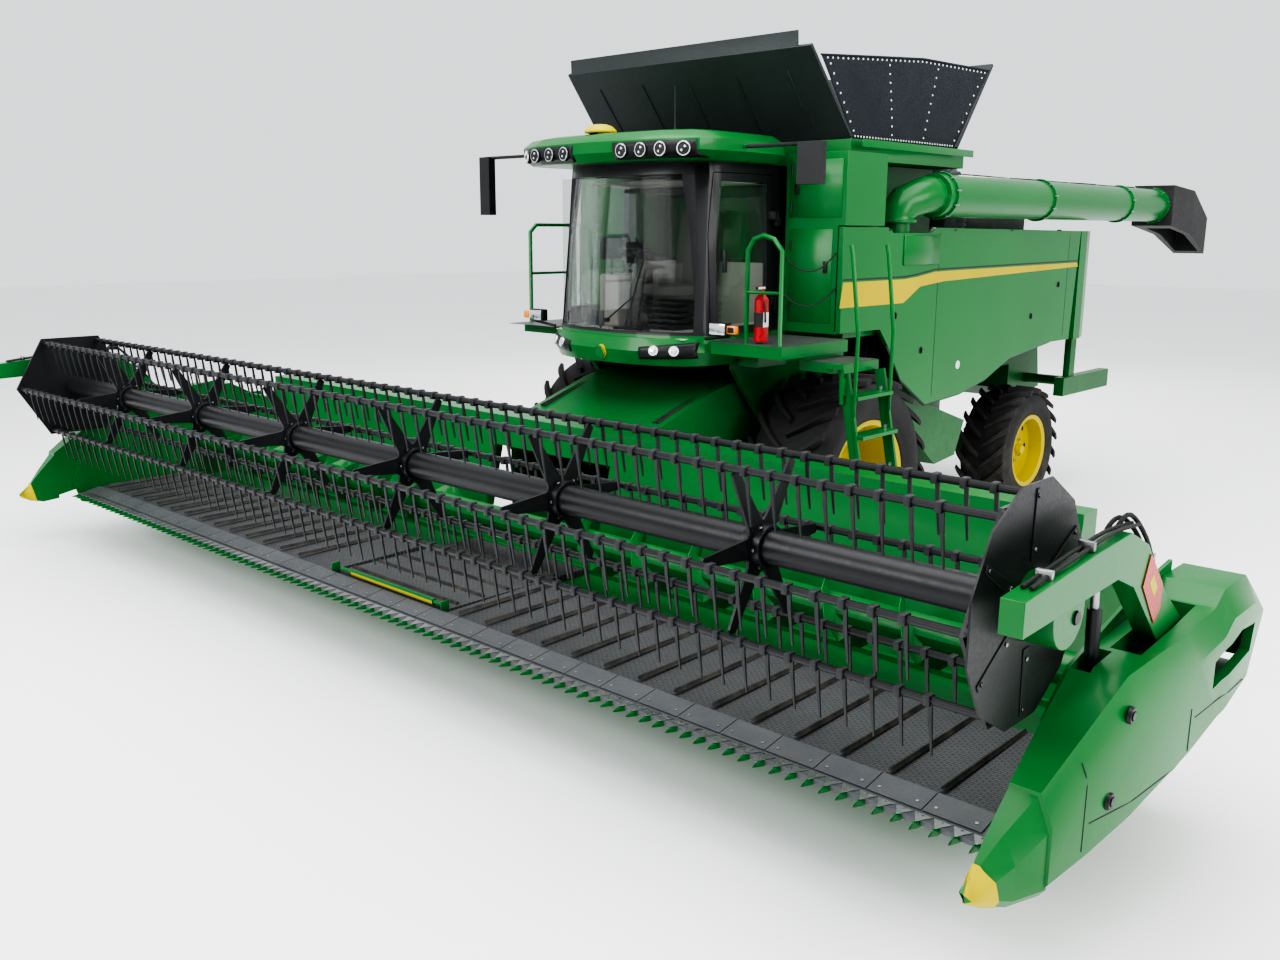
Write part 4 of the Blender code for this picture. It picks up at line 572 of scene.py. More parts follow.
def makeRim(name, body, centre, side, size):
    half, radius, hub, disc = size["width"] * 0.4, size["rim"], size["hub"], size["disc"]
    inner = radius - 0.03
    near, far = disc - 0.012, disc + 0.012
    section = [(half + 0.02, inner), (half + 0.03, radius + 0.012), (half + 0.036, radius + 0.02),
               (half + 0.016, radius + 0.02), (half, radius), (-half, radius), (-half - 0.016, radius + 0.02),
               (-half - 0.036, radius + 0.02), (-half - 0.02, inner), (near - 0.02, inner), (near, inner - 0.05),
               (near, hub * 2.2), (near + 0.05, hub * 1.2), (near + 0.05, hub), (far + 0.05, hub),
               (far + 0.05, hub * 1.2), (far, hub * 2.3), (far, inner - 0.05), (far + 0.02, inner)]
    bm = bmesh.new()
    addSpun(bm, [(side * a, r) for a, r in section], centre, 72)
    out = leftward * side
    face = centre + out * (far + 0.001)
    for arm, _ in spokes(10):
        spot = face + arm * hub * 2.55
        addBolt(bm, spot, out * 0.014, 0.019, slot=1)
        addBolt(bm, spot, out * 0.03, 0.009, 8, 1)
    for arm, _ in spokes(8):
        addBolt(bm, face + arm * ((inner + hub * 2.2) / 2 + 0.05) - out * 0.004, out * 0.0055, 0.028, 20, 2)
    addBolt(bm, face + out * 0.052, out * 0.063, hub * 1.05, 32, tip=hub * 0.8)
    rim = makePiece(name + "Dished", bm, "rimYellow bareSteel satinBlack", body, 0.003)
    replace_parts(rim, name)


for end, size in wheelSet.items():
    for word, side in bothSides:
        centre = middle(f"{end}_rim_{word}")
        centre.x = side * size["centre"]
        makeTyre(f"{end}_tyre_{word}", f"{end}_wheel_{word}", centre, size)
        makeRim(f"{end}_rim_{word}", f"{end}_wheel_{word}", centre, side, size)
print("wheels and tyres")

# knife, guards, belts and the header's front
cutting = {"pitch": 0.1016, "count": 101, "slatPitch": 0.29, "tilePitch": 0.31, "tileRun": 10.1}
start = -cutting["pitch"] * (cutting["count"] - 1) / 2

bm = bmesh.new()
base = byKnife(start, 0, 0.487)
for side in (-1, 1):
    addPlate(bm, [base + Vector((side * x, y, z)) for x, y, z in (
        (0.019, 0.05, -0.016), (0.019, 0.05, 0.014), (0.013, -0.02, 0.016), (0.004, -0.095, 0.004),
        (0.004, -0.095, -0.006), (0.013, -0.03, -0.018))], (-side * 0.008, 0, 0))
addRod(bm, base + Vector((0, 0.03, -0.006)), base + Vector((0, -0.105, -0.001)), 0.014, 0.003, sides=8)
guards = makePiece("knifeGuards", bm, "harvestGreen", "header", sharp=50)
repeat(guards, cutting["count"], (cutting["pitch"], 0, 0))

bm = bmesh.new()
addPlate(bm, [byKnife(start + x, y, 0.504) for x, y in ((-0.048, 0.035), (-0.003, -0.045), (0.003, -0.045),
                                                       (0.048, 0.035))], (0, 0, 0.003))
addBolt(bm, byKnife(start, 0.022, 0.506), upward * 0.006, 0.006)
knife = makePiece("knifeSections", bm, "bareSteel", "header")
repeat(knife, cutting["count"], (cutting["pitch"], 0, 0))

bm = bmesh.new()
tileCount = int(cutting["tileRun"] / cutting["tilePitch"])
left = -tileCount * cutting["tilePitch"] / 2
addPlate(bm, [byKnife(left + 0.003, y, z) for y, z in ((0.055, 0.512), (0.211, 0.5405), (0.211, 0.5445),
                                                      (0.050, 0.516))], (cutting["tilePitch"] - 0.006, 0, 0))
for dx in (0.05, 0.26):
    addRod(bm, byKnife(left + dx, 0.10, 0.519), byKnife(left + dx, 0.0985, 0.5275), 0.009, sides=8, slot=1)
tiles = makePiece("wearTiles", bm, "ramGrey bareSteel", "header")
repeat(tiles, tileCount, (cutting["tilePitch"], 0, 0))

for word, side in bothSides:
    low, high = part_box(f"draper_belt_{word}")
    bm = bmesh.new()
    addPlate(bm, [(low.x + 0.14 + x, low.y + 0.02, high.z + z) for x, z in (
        (-0.017, 0), (-0.010, 0.009), (-0.004, 0.022), (0.004, 0.022), (0.010, 0.009), (0.017, 0))],
        (0, high.y - low.y - 0.04, 0))
    slats = makePiece(f"beltSlats_{word}", bm, "spoutRubber", "header")
    repeat(slats, int((high.x - low.x - 0.2) / cutting["slatPitch"]), (cutting["slatPitch"], 0, 0))
low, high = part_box("feed_belt")
bm = bmesh.new()
addPlate(bm, [(low.x + 0.03, low.y + y, high.z + z) for y, z in ((0.10, 0), (0.112, 0.02), (0.122, 0.02),
                                                                (0.134, 0))], (high.x - low.x - 0.06, 0, 0))
repeat(makePiece("feedBeltSlats", bm, "spoutRubber", "header"), 5, (0, 0.24, 0))

bm = bmesh.new()                                  # roller and cross support at the front of the centre gap
for x0, x1, radius, count, slot in ((-0.44, 0.60, 0.024, 16, 1), (-0.60, -0.44, 0.015, 12, 0),
                                    (0.60, 0.70, 0.015, 12, 0)):
    addRod(bm, byKnife(x0, 0.24, 0.575), byKnife(x1, 0.24, 0.575), radius, sides=count, slot=slot)
for x in (-0.71, 0.70):
    addBox(bm, (x, x + 0.012), (0.215, 0.29), (0.53, 0.605), 0, 0.004, knifeY)
makePiece("gapRoller", bm, "harvestGreen rimYellow", "header", 0.002)

bm = bmesh.new()                                  # bolts of the back sheet, seen over the belts
sheet = surfaceOf("header_frame")
for x in [0.72 * (i - 6.5) for i in range(14)]:
    for z in (0.72, 0.96, 1.2):
        hit, normal = castOn(sheet, byKnife(x, 1.3, z), rearward)
        if abs(x) > 0.85 and hit is not None and abs(normal.y) > 0.5:
            addBolt(bm, hit, rearward * -0.008, 0.011, 8)
makePiece("backSheetBolts", bm, "bareSteel", "header")
print("knife, belts and back sheet")

# reel
reel = {"tinePitch": 0.148, "tineStart": -4.81, "tineCount": 66, "tineLength": 0.29, "spiderPitch": 1.48,
        "plates": ((5.097, 1), (-4.987, -1))}
pivots = {joint["name"]: Vector(joint["pos_m"]) for joint in frame["joints"] if "pos_m" in joint}
for i in range(1, 7):
    spot = pivots[f"bat_{i}_turn"]
    spot.x = reel["tineStart"]
    bm = bmesh.new()
    addPlate(bm, [spot + Vector(p) for p in (
        (-0.011, 0.013, -0.012), (0.011, 0.013, -0.012), (0.010, 0.020, -0.10), (0.004, 0.055, -reel["tineLength"]),
        (-0.004, 0.055, -reel["tineLength"]), (-0.010, 0.020, -0.10))], (0, 0.007, 0))
    addBox(bm, (spot.x - 0.018, spot.x + 0.018), (-0.027, 0.027), (spot.z - 0.027, spot.z + 0.025), 0, 0.007, spot.y)
    tines = makePiece(f"reelTines_{i}", bm, "tineGrey", f"bat_{i}", sharp=30)
    repeat(tines, reel["tineCount"], (reel["tinePitch"], 0, 0))

axis = pivots["reel_spin"]
plate = surfaceOf("reel_core")
bm = bmesh.new()                                  # clamps of the spiders, and bolts of the end plates
for i in range(6):
    hub = Vector(((i - 2.5) * reel["spiderPitch"], axis.y, axis.z))
    addSpun(bm, [(-0.06, 0.093), (-0.06, 0.112), (0.06, 0.112), (0.06, 0.093)], hub, 24)
    for out, _ in spokes(6):
        for dx in (-0.035, 0.035):
            addBolt(bm, hub + out * 0.105 + leftward * dx, out * 0.02, 0.010, slot=1)
for x, side in reel["plates"]:
    for out, across in spokes(6):
        for reach, shift in [(r, s) for r in (0.20, 0.30, 0.40) for s in (-0.05, 0.05)]:
            spot = Vector((x + side * 0.3, axis.y, axis.z)) + out * reach + across * shift
            hit, _ = castOn(plate, spot, leftward * -side, 0.4)
            if hit is not None and abs(hit.x - x) < 0.03:
                addBolt(bm, hit, leftward * side * 0.006, 0.012, slot=1)
makePiece("reelClamps", bm, "satinBlack bareSteel", "reel_core", 0.002)

bm = bmesh.new()
centre = middle("reel_control_disc")
centre.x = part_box("reel_control_disc")[1].x
for out, across in spokes(6, 30):
    a, b = centre + out * 0.19, centre + out * 0.50
    addPlate(bm, [a + across * 0.03, a - across * 0.03, b - across * 0.016, b + across * 0.016], (0.006, 0, 0))
    for r in (0.24, 0.47):
        addBolt(bm, centre + leftward * 0.006 + out * r, leftward * 0.007, 0.011, slot=1)
makePiece("discRidges", bm, "satinBlack bareSteel", "control_disc", 0.002)

armSet = {"hoseX": 5.30, "hoseStep": 0.035, "clips": ((0.05, 1.94), (-0.35, 1.905), (0.78, 1.74)), "boardX": 5.372}
for word, side in bothSides:                      # hoses, clips and reflector board on each arm
    bm = bmesh.new()
    for k in range(2):
        x = side * (armSet["hoseX"] + armSet["hoseStep"] * k)
        bend = ((0, 1.02, 1.43), (0, 0.86, 1.66), (0, 0.70, 1.86), (0.03, 0.56, 1.97 + 0.02 * k), (0.05, 0.47, 1.95),
                (0.07, 0.44, 1.86), (0.085, 0.44, 1.79))
        addPipe(bm, rounded([byKnife(x - side * dx, y, z) for dx, y, z in bend], 4), 0.011, 8)
        run = ((0.60, 1.945), (0.30, 1.965), (0.0, 1.945), (-0.3, 1.92), (-0.5, 1.90))
        addPipe(bm, rounded([byKnife(x, y, z) for y, z in run], 3), 0.009, 8)
    for y, z in armSet["clips"]:
        addBox(bm, (side * 5.285, side * 5.355), (y - 0.012, y + 0.012), (z - 0.01, z + 0.035), 1, 0.004, knifeY)
    makePiece(f"armHoses_{word}", bm, "hoseBlack bareSteel", "reel_arms")
    bm = bmesh.new()
    face = side * armSet["boardX"]
    board = ((0.60, 1.66), (0.79, 1.44), (0.86, 1.50), (0.86, 1.62), (0.67, 1.80))
    inset = ((0.68, 1.66), (0.75, 1.58), (0.79, 1.615), (0.72, 1.695))
    addPlate(bm, [byKnife(face, y, z) for y, z in board], (side * 0.004, 0, 0))
    addPlate(bm, [byKnife(face + side * 0.004, y, z) for y, z in inset], (side * 0.001, 0, 0), 1)
    makePiece(f"reflectorBoard_{word}", bm, "signalRed domeYellow", "reel_arms", 0.001)
print("reel")

# end shields
shieldSet = {"tip": 0.27, "latches": ((0.33, 1.16), (0.20, 0.80)), "hinge": (0.52, 0.64), "seamSteps": 8,
             "seams": ((0.02, 0.62, 0.02, 1.02), (0.98, 0.58, 0.98, 1.00), (0.06, 0.74, 0.94, 0.74),
                       (1.04, 0.94, 1.94, 0.94))}


def onShield(shield, side, y, z):
    return castOn(shield, byKnife(side * 6.2, y, z), leftward * -side)[0]


for word, side in bothSides:
    shield = surfaceOf(f"end_shield_{word}")
    low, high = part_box(f"end_shield_{word}")
    out = leftward * side
    bm = bmesh.new()
    for y, z in shieldSet["latches"]:
        hit = onShield(shield, side, y, z)
        if hit is not None:
            addBolt(bm, hit - out * 0.004, out * 0.016, 0.042, 24, tip=0.036)
            addBolt(bm, hit + out * 0.012, out * 0.005, 0.022, slot=1)
    for y0, z0, y1, z1 in shieldSet["seams"]:
        shares = [k / shieldSet["seamSteps"] for k in range(shieldSet["seamSteps"] + 1)]
        line = [onShield(shield, side, y0 + (y1 - y0) * t, z0 + (z1 - z0) * t) for t in shares]
        for a, b in zip(line, line[1:]):
            if a is not None and b is not None and abs(a.x - b.x) < 0.05 and (a - b).length > 0.01:
                addRod(bm, a, b, 0.0035, sides=6)
    makePiece(f"shieldSeams_{word}", bm, "satinBlack bareSteel", "header")
    hinge = onShield(shield, side, *shieldSet["hinge"])
    if hinge is not None:
        bm = bmesh.new()
        addBox(bm, (hinge.x, hinge.x + side * 0.008), (0.44, 0.62), (0.585, 0.70), 0, 0.003, knifeY)
        for y in (0.47, 0.59):
            addBolt(bm, byKnife(hinge.x + side * 0.008, y, 0.64), out * 0.008, 0.013, slot=1)
        makePiece(f"shieldHinge_{word}", bm, "ramGrey bareSteel", "header")
    bm = bmesh.new()                              # a moulded cap drawn over the nose
    bm.from_mesh(nodes[f"end_shield_{word}"].data)
    bmesh.ops.remove_doubles(bm, verts=bm.verts, dist=0.0002)
    bmesh.ops.bisect_plane(bm, geom=bm.verts[:] + bm.edges[:] + bm.faces[:], plane_co=(0, low.y + shieldSet["tip"], 0),
                           plane_no=(0, 1, 0.25), clear_outer=True)
    bmesh.ops.recalc_face_normals(bm, faces=bm.faces)
    for v in bm.verts:
        v.co += v.normal * 0.005
        v.co.y = max(v.co.y, low.y)
    paintNew(bm, 0, 0)
    makePiece(f"dividerTip_{word}", bm, "domeYellow", "header", sharp=50)
print("end shields")

# tarps over the tank extension
tarpSet = {"wrinkle": 0.012, "thickness": 0.002, "studs": 38, "folded": 0.02, "seams": (0.36, 0.66)}


def makeTarp(word, side):
    low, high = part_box(f"tank_tarp_{word}")
    span = [Vector(v.co) for v in nodes[f"tank_tarp_{word}"].data.vertices]
    base = sorted((p for p in span if p.z < low.z + 0.001), key=lambda p: p.y)
    footFront, footBack = base[0], base[-1]
    top = sorted({(round(p.y, 4), round(p.z, 4)) for p in span if p.z > low.z + 0.3})
    middleX = (low.x + high.x) / 2

    def ridge(u):
        y = top[0][0] + (top[-1][0] - top[0][0]) * u
        for a, b in zip(top, top[1:]):
            if y <= b[0] + 1e-6:
                return y, a[1] + (b[1] - a[1]) * (y - a[0]) / max(1e-6, b[0] - a[0])
        return top[-1]

    def onTarp(u, v):
        footY = footFront.y + (footBack.y - footFront.y) * u
        topY, topZ = ridge(u)
        slack = sin(u * 21 + v * 3) * 0.35 + sin(u * 9 - v * 5) * 0.35 + sin(u * 47 + sin(v * 7) * 2) * 0.2
        sag = tarpSet["wrinkle"] * slack * sin(pi * v)
        return Vector((middleX + side * sag, footY + (topY - footY) * v, low.z + (topZ - low.z) * v))

    bm = bmesh.new()
    for v in bmesh.ops.create_grid(bm, x_segments=72, y_segments=18, size=0.5)["verts"]:
        v.co = onTarp(v.co.x + 0.5, v.co.y + 0.5)
    area = sum(f.calc_area() for f in bm.faces)
    tarp = makePiece(f"tarp_{word}", bm, "tarpNavy", "body")
    addWall(tarp, tarpSet["thickness"])
    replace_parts(tarp, f"tank_tarp_{word}")
    bm = bmesh.new()
    count = tarpSet["studs"]
    spots = [(u / count, v) for v in (0.045, 0.955) for u in range(1, count)]
    spots += [(u, v / 9) for u in (0.03, 0.97) for v in range(1, 9)]
    spots += [(u, v / 10) for u in tarpSet["seams"] for v in range(1, 10)]
    for u, v in spots:
        addBolt(bm, onTarp(u, v) + leftward * side * 0.001, leftward * side * 0.005, 0.010, 8, tip=0.006)
    studs = makePiece(f"tarpStuds_{word}", bm, "labelWhite", "body")
    bm = bmesh.new()
    for v in (0.012, 0.988):
        addPipe(bm, [onTarp(u / 24, v) for u in range(25)], 0.007, 6)
    hem = makePiece(f"tarpHem_{word}", bm, "tarpNavy", "body")
    for piece in (tarp, studs, hem):
        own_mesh(piece)
    print("tarp", word, "flat area", round(area, 2))


for word, side in bothSides:
    makeTarp(word, side)

# grain tank and its covers
coverSet = {"ribs": (-1.1, -0.55, 0.0, 0.55, 1.1), "ribRadius": 0.009, "foot": 0.12, "short": 0.40}
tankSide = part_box("grain_tank")[1].x
bm = bmesh.new()
for side in (1, -1):
    addBox(bm, (side * tankSide, side * (tankSide + 0.012)), (-0.13, 1.83), (3.90, 3.965), 0, 0.004)
makePiece("tankRimBand", bm, "harvestGreen", "body")

for name, outward in (("tank_cover_front", -rearward), ("tank_cover_rear", rearward)):
    cover = surfaceOf(name)
    low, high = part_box(name)
    bm = bmesh.new()
    for x in coverSet["ribs"]:
        heights = [low.z + coverSet["foot"] + (high.z - low.z - coverSet["short"]) * k / 8 for k in range(9)]
        met = [castOn(cover, Vector((x, outward.y * 4 + (low.y + high.y) / 2, z)), -outward)[0] for z in heights]
        path = [hit + outward * 0.001 for hit in met if hit is not None]
        if len(path) > 2:
            addPipe(bm, path, coverSet["ribRadius"], 6)
    makePiece(name + "Ribs", bm, "panelGrey", name, sharp=60)
print("tank and covers")

# side panels
panelSet = {"seams": ((4.27, 2.02, 3.17), (1.30, 1.63, 3.19)), "ply": 0.0012, "lift": 0.0006, "edgeWidth": 0.013,
            "latches": ((1.05, 2.10), (3.4, 2.30), (0.55, 2.45), (4.05, 2.62)), "hinges": (0.4, 1.6, 2.8, 4.0),
            "stripe": ((3.87, 2.775), (3.83, 2.56), (4.88, 2.56), (5.17, 2.70), (5.60, 2.735), (8.75, 2.81),
                       (8.72, 2.855), (5.44, 2.83), (5.10, 2.79), (4.88, 2.775)),
            "edge": ((3.87, 2.79), (4.88, 2.79), (5.10, 2.806), (5.44, 2.845), (8.72, 2.87)),
            "arch": ((0.44, 2.20), (0.72, 1.85), (1.20, 1.575), (1.89, 1.612), (2.42, 1.705), (2.97, 1.895),
                     (3.96, 1.995))}
for word, side in bothSides:
    body = f"side_panel_{word}"
    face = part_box(body)[side > 0].x
    proud = face + side * panelSet["lift"]
    out = leftward * side
    stripe = panelSet["stripe"]
    edges = [(a, b, (b[0], b[1] + panelSet["edgeWidth"]), (a[0], a[1] + panelSet["edgeWidth"]))
             for a, b in zip(panelSet["edge"], panelSet["edge"][1:])]
    fields = [stripe[:4] + stripe[-2:], (stripe[3], stripe[4], stripe[7], stripe[8]), stripe[4:8]]
    bm = bmesh.new()
    for slot, outlines in ((0, fields), (1, edges)):
        for outline in outlines:
            addPlate(bm, [byKnife(proud, y, z) for y, z in outline], out * panelSet["ply"], slot)
    addBolt(bm, byKnife(face + side * 0.0004, 6.0, 1.9), out * 0.0014, 0.042, 28, 2)
    makePiece(f"panelStripe_{word}", bm, "rimYellow satinBlack labelWhite", body, sharp=60)
    bm = bmesh.new()
    for y, z0, z1 in panelSet["seams"]:
        addBox(bm, (face - 0.001, face + 0.001), (y - 0.004, y + 0.004), (z0, z1))
    makePiece(f"panelSeams_{word}", bm, "satinBlack", body)
    bm = bmesh.new()                              # cover of the pocket
    addBox(bm, (face, face + side * 0.010), (4.84, 5.50), (2.90, 3.17), 0, 0.004, knifeY)
    makePiece(f"panelPocket_{word}", bm, "harvestGreen", body, 0.003)
    bm = bmesh.new()
    for y, z in panelSet["latches"]:
        addBolt(bm, byAxle(face, y, z), out * 0.006, 0.034, 24, tip=0.030)
        addBox(bm, (face, face + side * 0.016), (y - 0.008, y + 0.008), (z - 0.026, z + 0.026), 0, 0.004)
    for y in panelSet["hinges"]:
        addBox(bm, (face - 0.03, face + 0.001), (y - 0.03, y + 0.03), (3.205, 3.225), 0, 0.003)
    makePiece(f"panelLatches_{word}", bm, "satinBlack", body)
    bm = bmesh.new()
    addPipe(bm, [byAxle(face - side * 0.02, y, z - 0.012) for y, z in panelSet["arch"]], 0.016, 8)
    makePiece(f"panelTrim_{word}", bm, "satinBlack", body, sharp=60)
print("side panels")

# cab
cabSet = {"front": -2.6, "above": 4.4, "roofLampZ": 3.84, "roofLamps": (0.34, 0.54, 0.74, 0.92),
          "apronLamps": (0.56, 0.72), "apronLampZ": 2.21, "roundelZ": 2.17}
cab, roof, screen = (surfaceOf(name) for name in ("cab_body", "cab_roof", "windscreen"))


def fromFront(surface, x, z):
    return castOn(surface, byAxle(x, cabSet["front"], z), rearward)


def makeBoxes(name, paintName, body, rows, soften=0.0):
    # each row is an x, a y and a z pair, and the edge's softness
    bm = bmesh.new()
    for x, y, z, edge in rows:
        addBox(bm, x, y, z, 0, edge)
    makePiece(name, bm, paintName, body, soften)


makeBoxes("doorGlass", "tintedGlass", "cab_door", [((0.885, 0.891), (-1.16, -0.48), (2.42, 3.60), 0)])
makeBoxes("cabGlass", "tintedGlass", "body", [
    ((-0.896, -0.890), (-1.24, -0.40), (2.48, 3.66), 0), ((-0.5, 0.5), (-0.222, -0.216), (2.94, 3.51), 0)])
makeBoxes("cabTrim", "trimGrey", "body", [
    ((-0.78, 0.78), (-1.45, -0.25), (2.301, 2.312), 0.004), ((-0.72, -0.46), (-0.95, -0.35), (2.312, 2.80), 0.03),
    ((-0.70, 0.70), (-0.27, -0.235), (2.32, 2.92), 0.01), ((-0.74, 0.74), (-1.02, -0.27), (3.60, 3.63), 0.01)], 0.008)
bm = bmesh.new()                                  # screen, lever and pedals
addBox(bm, (-0.58, -0.54), (-1.08, -0.80), (2.94, 3.14), 0, 0.006)
addRod(bm, byAxle(-0.58, -0.92, 2.78), byAxle(-0.56, -0.94, 2.95), 0.014, sides=10)
addRod(bm, byAxle(-0.36, -0.90, 2.90), byAxle(-0.36, -0.96, 3.06), 0.012, sides=10)
addRod(bm, byAxle(-0.36, -0.955, 3.05), byAxle(-0.36, -0.975, 3.12), 0.030, 0.020, sides=14)
for x in (-0.28, 0.26):
    addBox(bm, (x - 0.045, x + 0.045), (-1.38, -1.36), (2.36, 2.50), 0, 0.004)
    addBolt(bm, byAxle(x, -1.37, 2.31), upward * 0.09, 0.012, 8)
makePiece("cabControls", bm, "satinBlack", "body", 0.003)

bm = bmesh.new()                                  # roof lamps in their dark recesses
for side in (1, -1):
    for x in cabSet["roofLamps"]:
        hit, out = fromFront(roof, side * x, cabSet["roofLampZ"])
        for rise, depth, radius, tip, count, slot in ((-0.01, 0.032, 0.062, 0.058, 24, 0),
                                                      (0.018, 0.008, 0.052, 0.048, 24, 1),
                                                      (0.026, 0.003, 0.030, 0.012, 16, 2)):
            addBolt(bm, hit + out * rise, out * depth, radius, count, slot, tip)
makePiece("roofLamps", bm, "satinBlack lampSilver labelWhite", "body", 0.002)
for word, side in bothSides:
    skinPatch(f"roofRecess_{word}", roof, 24, 4, 0.005, 0.006,
              lambda u, v: byAxle(side * (0.24 + 0.78 * u), cabSet["front"], 3.775 + 0.13 * v))

bm = bmesh.new()                                  # dome and aerial
top = castOn(roof, byAxle(-0.12, -1.52, cabSet["above"]), -upward)[0]
addSpun(bm, [(0.0, 0.135), (0.012, 0.14), (0.03, 0.13), (0.055, 0.10), (0.07, 0.055), (0.075, 0.0), (0.0, 0.0)],
        (0, 0, 0), 32)
turn = Matrix.Translation(top + upward * 0.012) @ Matrix.Rotation(radians(-90), 4, "Y")
bmesh.ops.remove_doubles(bm, verts=bm.verts, dist=0.0005)
bmesh.ops.transform(bm, matrix=turn, verts=bm.verts)
addBolt(bm, top - upward * 0.01, upward * 0.024, 0.10, 24, 1, 0.09)
makePiece("receiverDome", bm, "domeYellow satinBlack", "body")
bm = bmesh.new()
top = castOn(roof, byAxle(0.40, -1.15, cabSet["above"]), -upward)[0]
addBolt(bm, top - upward * 0.01, upward * 0.06, 0.022, 16, tip=0.014)
addRod(bm, top + upward * 0.05, top + Vector((-0.05, 0.05, 0.40)), 0.006, 0.003, sides=8)
makePiece("roofAerial", bm, "hoseBlack", "body")

for word, side in bothSides:                      # dark lamp lenses let into the apron
    skinPatch(f"apronLamp_{word}", cab, 20, 5, 0.004, 0.008, lambda u, v: byAxle(
        side * (0.42 + 0.44 * u), cabSet["front"], 2.135 + 0.02 * u + (0.10 + 0.03 * u) * v))
    bm = bmesh.new()
    for x in cabSet["apronLamps"]:
        hit, out = fromFront(cab, side * x, cabSet["apronLampZ"])
        addBolt(bm, hit + out * 0.006, out * 0.008, 0.046, 24, tip=0.042)
        addBolt(bm, hit + out * 0.014, out * 0.004, 0.030, 20, 1, 0.014)
    makePiece(f"apronBulbs_{word}", bm, "lampSilver labelWhite", "body")
bm = bmesh.new()
hit = fromFront(cab, 0.0, cabSet["roundelZ"])[0]
out = Vector((0, -0.98, -0.2))
addBolt(bm, hit - out * 0.02, out * 0.036, 0.064, 32, tip=0.060)
addBolt(bm, hit + out * 0.016, out * 0.004, 0.050, 32, 1, 0.048)
makePiece("apronRoundel", bm, "rimYellow harvestGreen", "body", 0.001)

bm = bmesh.new()                                  # wiper
tips = [fromFront(screen, x, z)[0] for x, z in ((0.0, 2.44), (0.30, 2.66))]
addRod(bm, tips[0] + Vector((0, -0.02, 0)), tips[1] + Vector((0, -0.03, 0)), 0.008, 0.006, sides=8)
addRod(bm, tips[1] + Vector((-0.12, -0.014, -0.26)), tips[1] + Vector((0.10, -0.014, 0.34)), 0.007, sides=6)
addBolt(bm, tips[0], rearward * -0.035, 0.02, 12)
makePiece("screenWiper", bm, "satinBlack", "body")
makeBoxes("doorHandle", "satinBlack", "cab_door", [((0.93, 0.955), (-1.14, -1.10), (2.86, 3.04), 0.006)])

bm = bmesh.new()                                  # work lamps and indicators
for side in (1, -1):
    addRod(bm, byAxle(side * 0.92, -1.33, 2.32), byAxle(side * 1.20, -1.36, 2.36), 0.014, sides=10)
    addBox(bm, (side * 1.02, side * 1.20), (-1.41, -1.33), (2.36, 2.47), 0, 0.012)
    addBox(bm, (side * 1.03, side * 1.19), (-1.416, -1.408), (2.37, 2.46), 1, 0.003)
    addBox(bm, (side * 1.20, side * 1.29), (-1.405, -1.35), (2.38, 2.45), 2, 0.012)
makePiece("cornerLamps", bm, "satinBlack lampSilver signalAmber", "body")
makeBoxes("mirrorGlass", "lampSilver", "body", [
    ((1.69, 1.87), (-1.085, -1.078), (3.58, 3.86), 0.002), ((-1.84, -1.72), (-1.365, -1.358), (3.36, 3.86), 0.002)])
print("cab")

# seat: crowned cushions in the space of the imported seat
seatSet = {"crown": 0.028, "lean": 9, "channel": 0.010, "channelAt": 0.5, "channelWide": 0.09, "pull": 0.05}


def pad(name, x, y, z, place=Matrix.Translation((0, axleY, 0))):
    bm = bmesh.new()
    low, high = (Vector((x[i], y[i], z[i])) for i in (0, 1))
    centre, half = (low + high) / 2, (high - low) / 2
    thin = min(range(3), key=lambda i: half[i])
    first, second = [i for i in range(3) if i != thin]
    bmesh.ops.create_cube(bm, size=2.0)
    bmesh.ops.subdivide_edges(bm, edges=bm.edges[:], cuts=7, use_grid_fill=True)
    for v in bm.verts:
        a, b, face = v.co[first], v.co[second], v.co[thin]
        crown = (1 - a ** 4) * (1 - b ** 4)
        groove = max(0.0, 1 - abs(abs(a) - seatSet["channelAt"]) / seatSet["channelWide"]) if abs(face) > 0.9 else 0
        channel = seatSet["channel"] * groove
        edgePull = 1 - seatSet["pull"] * (a * a) * (b * b)
        local = Vector((0, 0, 0))
        local[first] = a * half[first] * edgePull
        local[second] = b * half[second] * edgePull
        local[thin] = face * (half[thin] - seatSet["crown"] * (1 - crown)) - (channel if face > 0 else -channel)
        v.co = centre + local
    bmesh.ops.transform(bm, matrix=place, verts=bm.verts)
    piece = makePiece(name, bm, "seatCloth", "body", sharp=80)
    smooth = piece.modifiers.new("smooth", "SUBSURF")
    smooth.levels = smooth.render_levels = 2
    return piece


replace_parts(pad("seatCushion", (-0.25, 0.25), (-0.97, -0.48), (2.60, 2.735)), "operator_seat")
lean = Matrix.Translation(byAxle(0, -0.44, 2.70)) @ Matrix.Rotation(radians(-seatSet["lean"]), 4, "X")
pad("seatBack", (-0.24, 0.24), (-0.02, 0.11), (0.0, 0.70), lean)
pad("armRest", (-0.40, -0.26), (-0.93, -0.52), (2.83, 2.90))
makeBoxes("seatBase", "satinBlack", "body", [((-0.19, 0.19), (-0.89, -0.51), (2.302, 2.36), 0.01)] + [
    ((-0.17 + 0.004 * k, 0.17 - 0.004 * k), (-0.87, -0.53), (2.365 + 0.055 * k, 2.41 + 0.055 * k), 0.015)
    for k in range(4)] + [((-0.36, -0.30), (-0.74, -0.64), (2.52, 2.84), 0.01)])
print("seat")

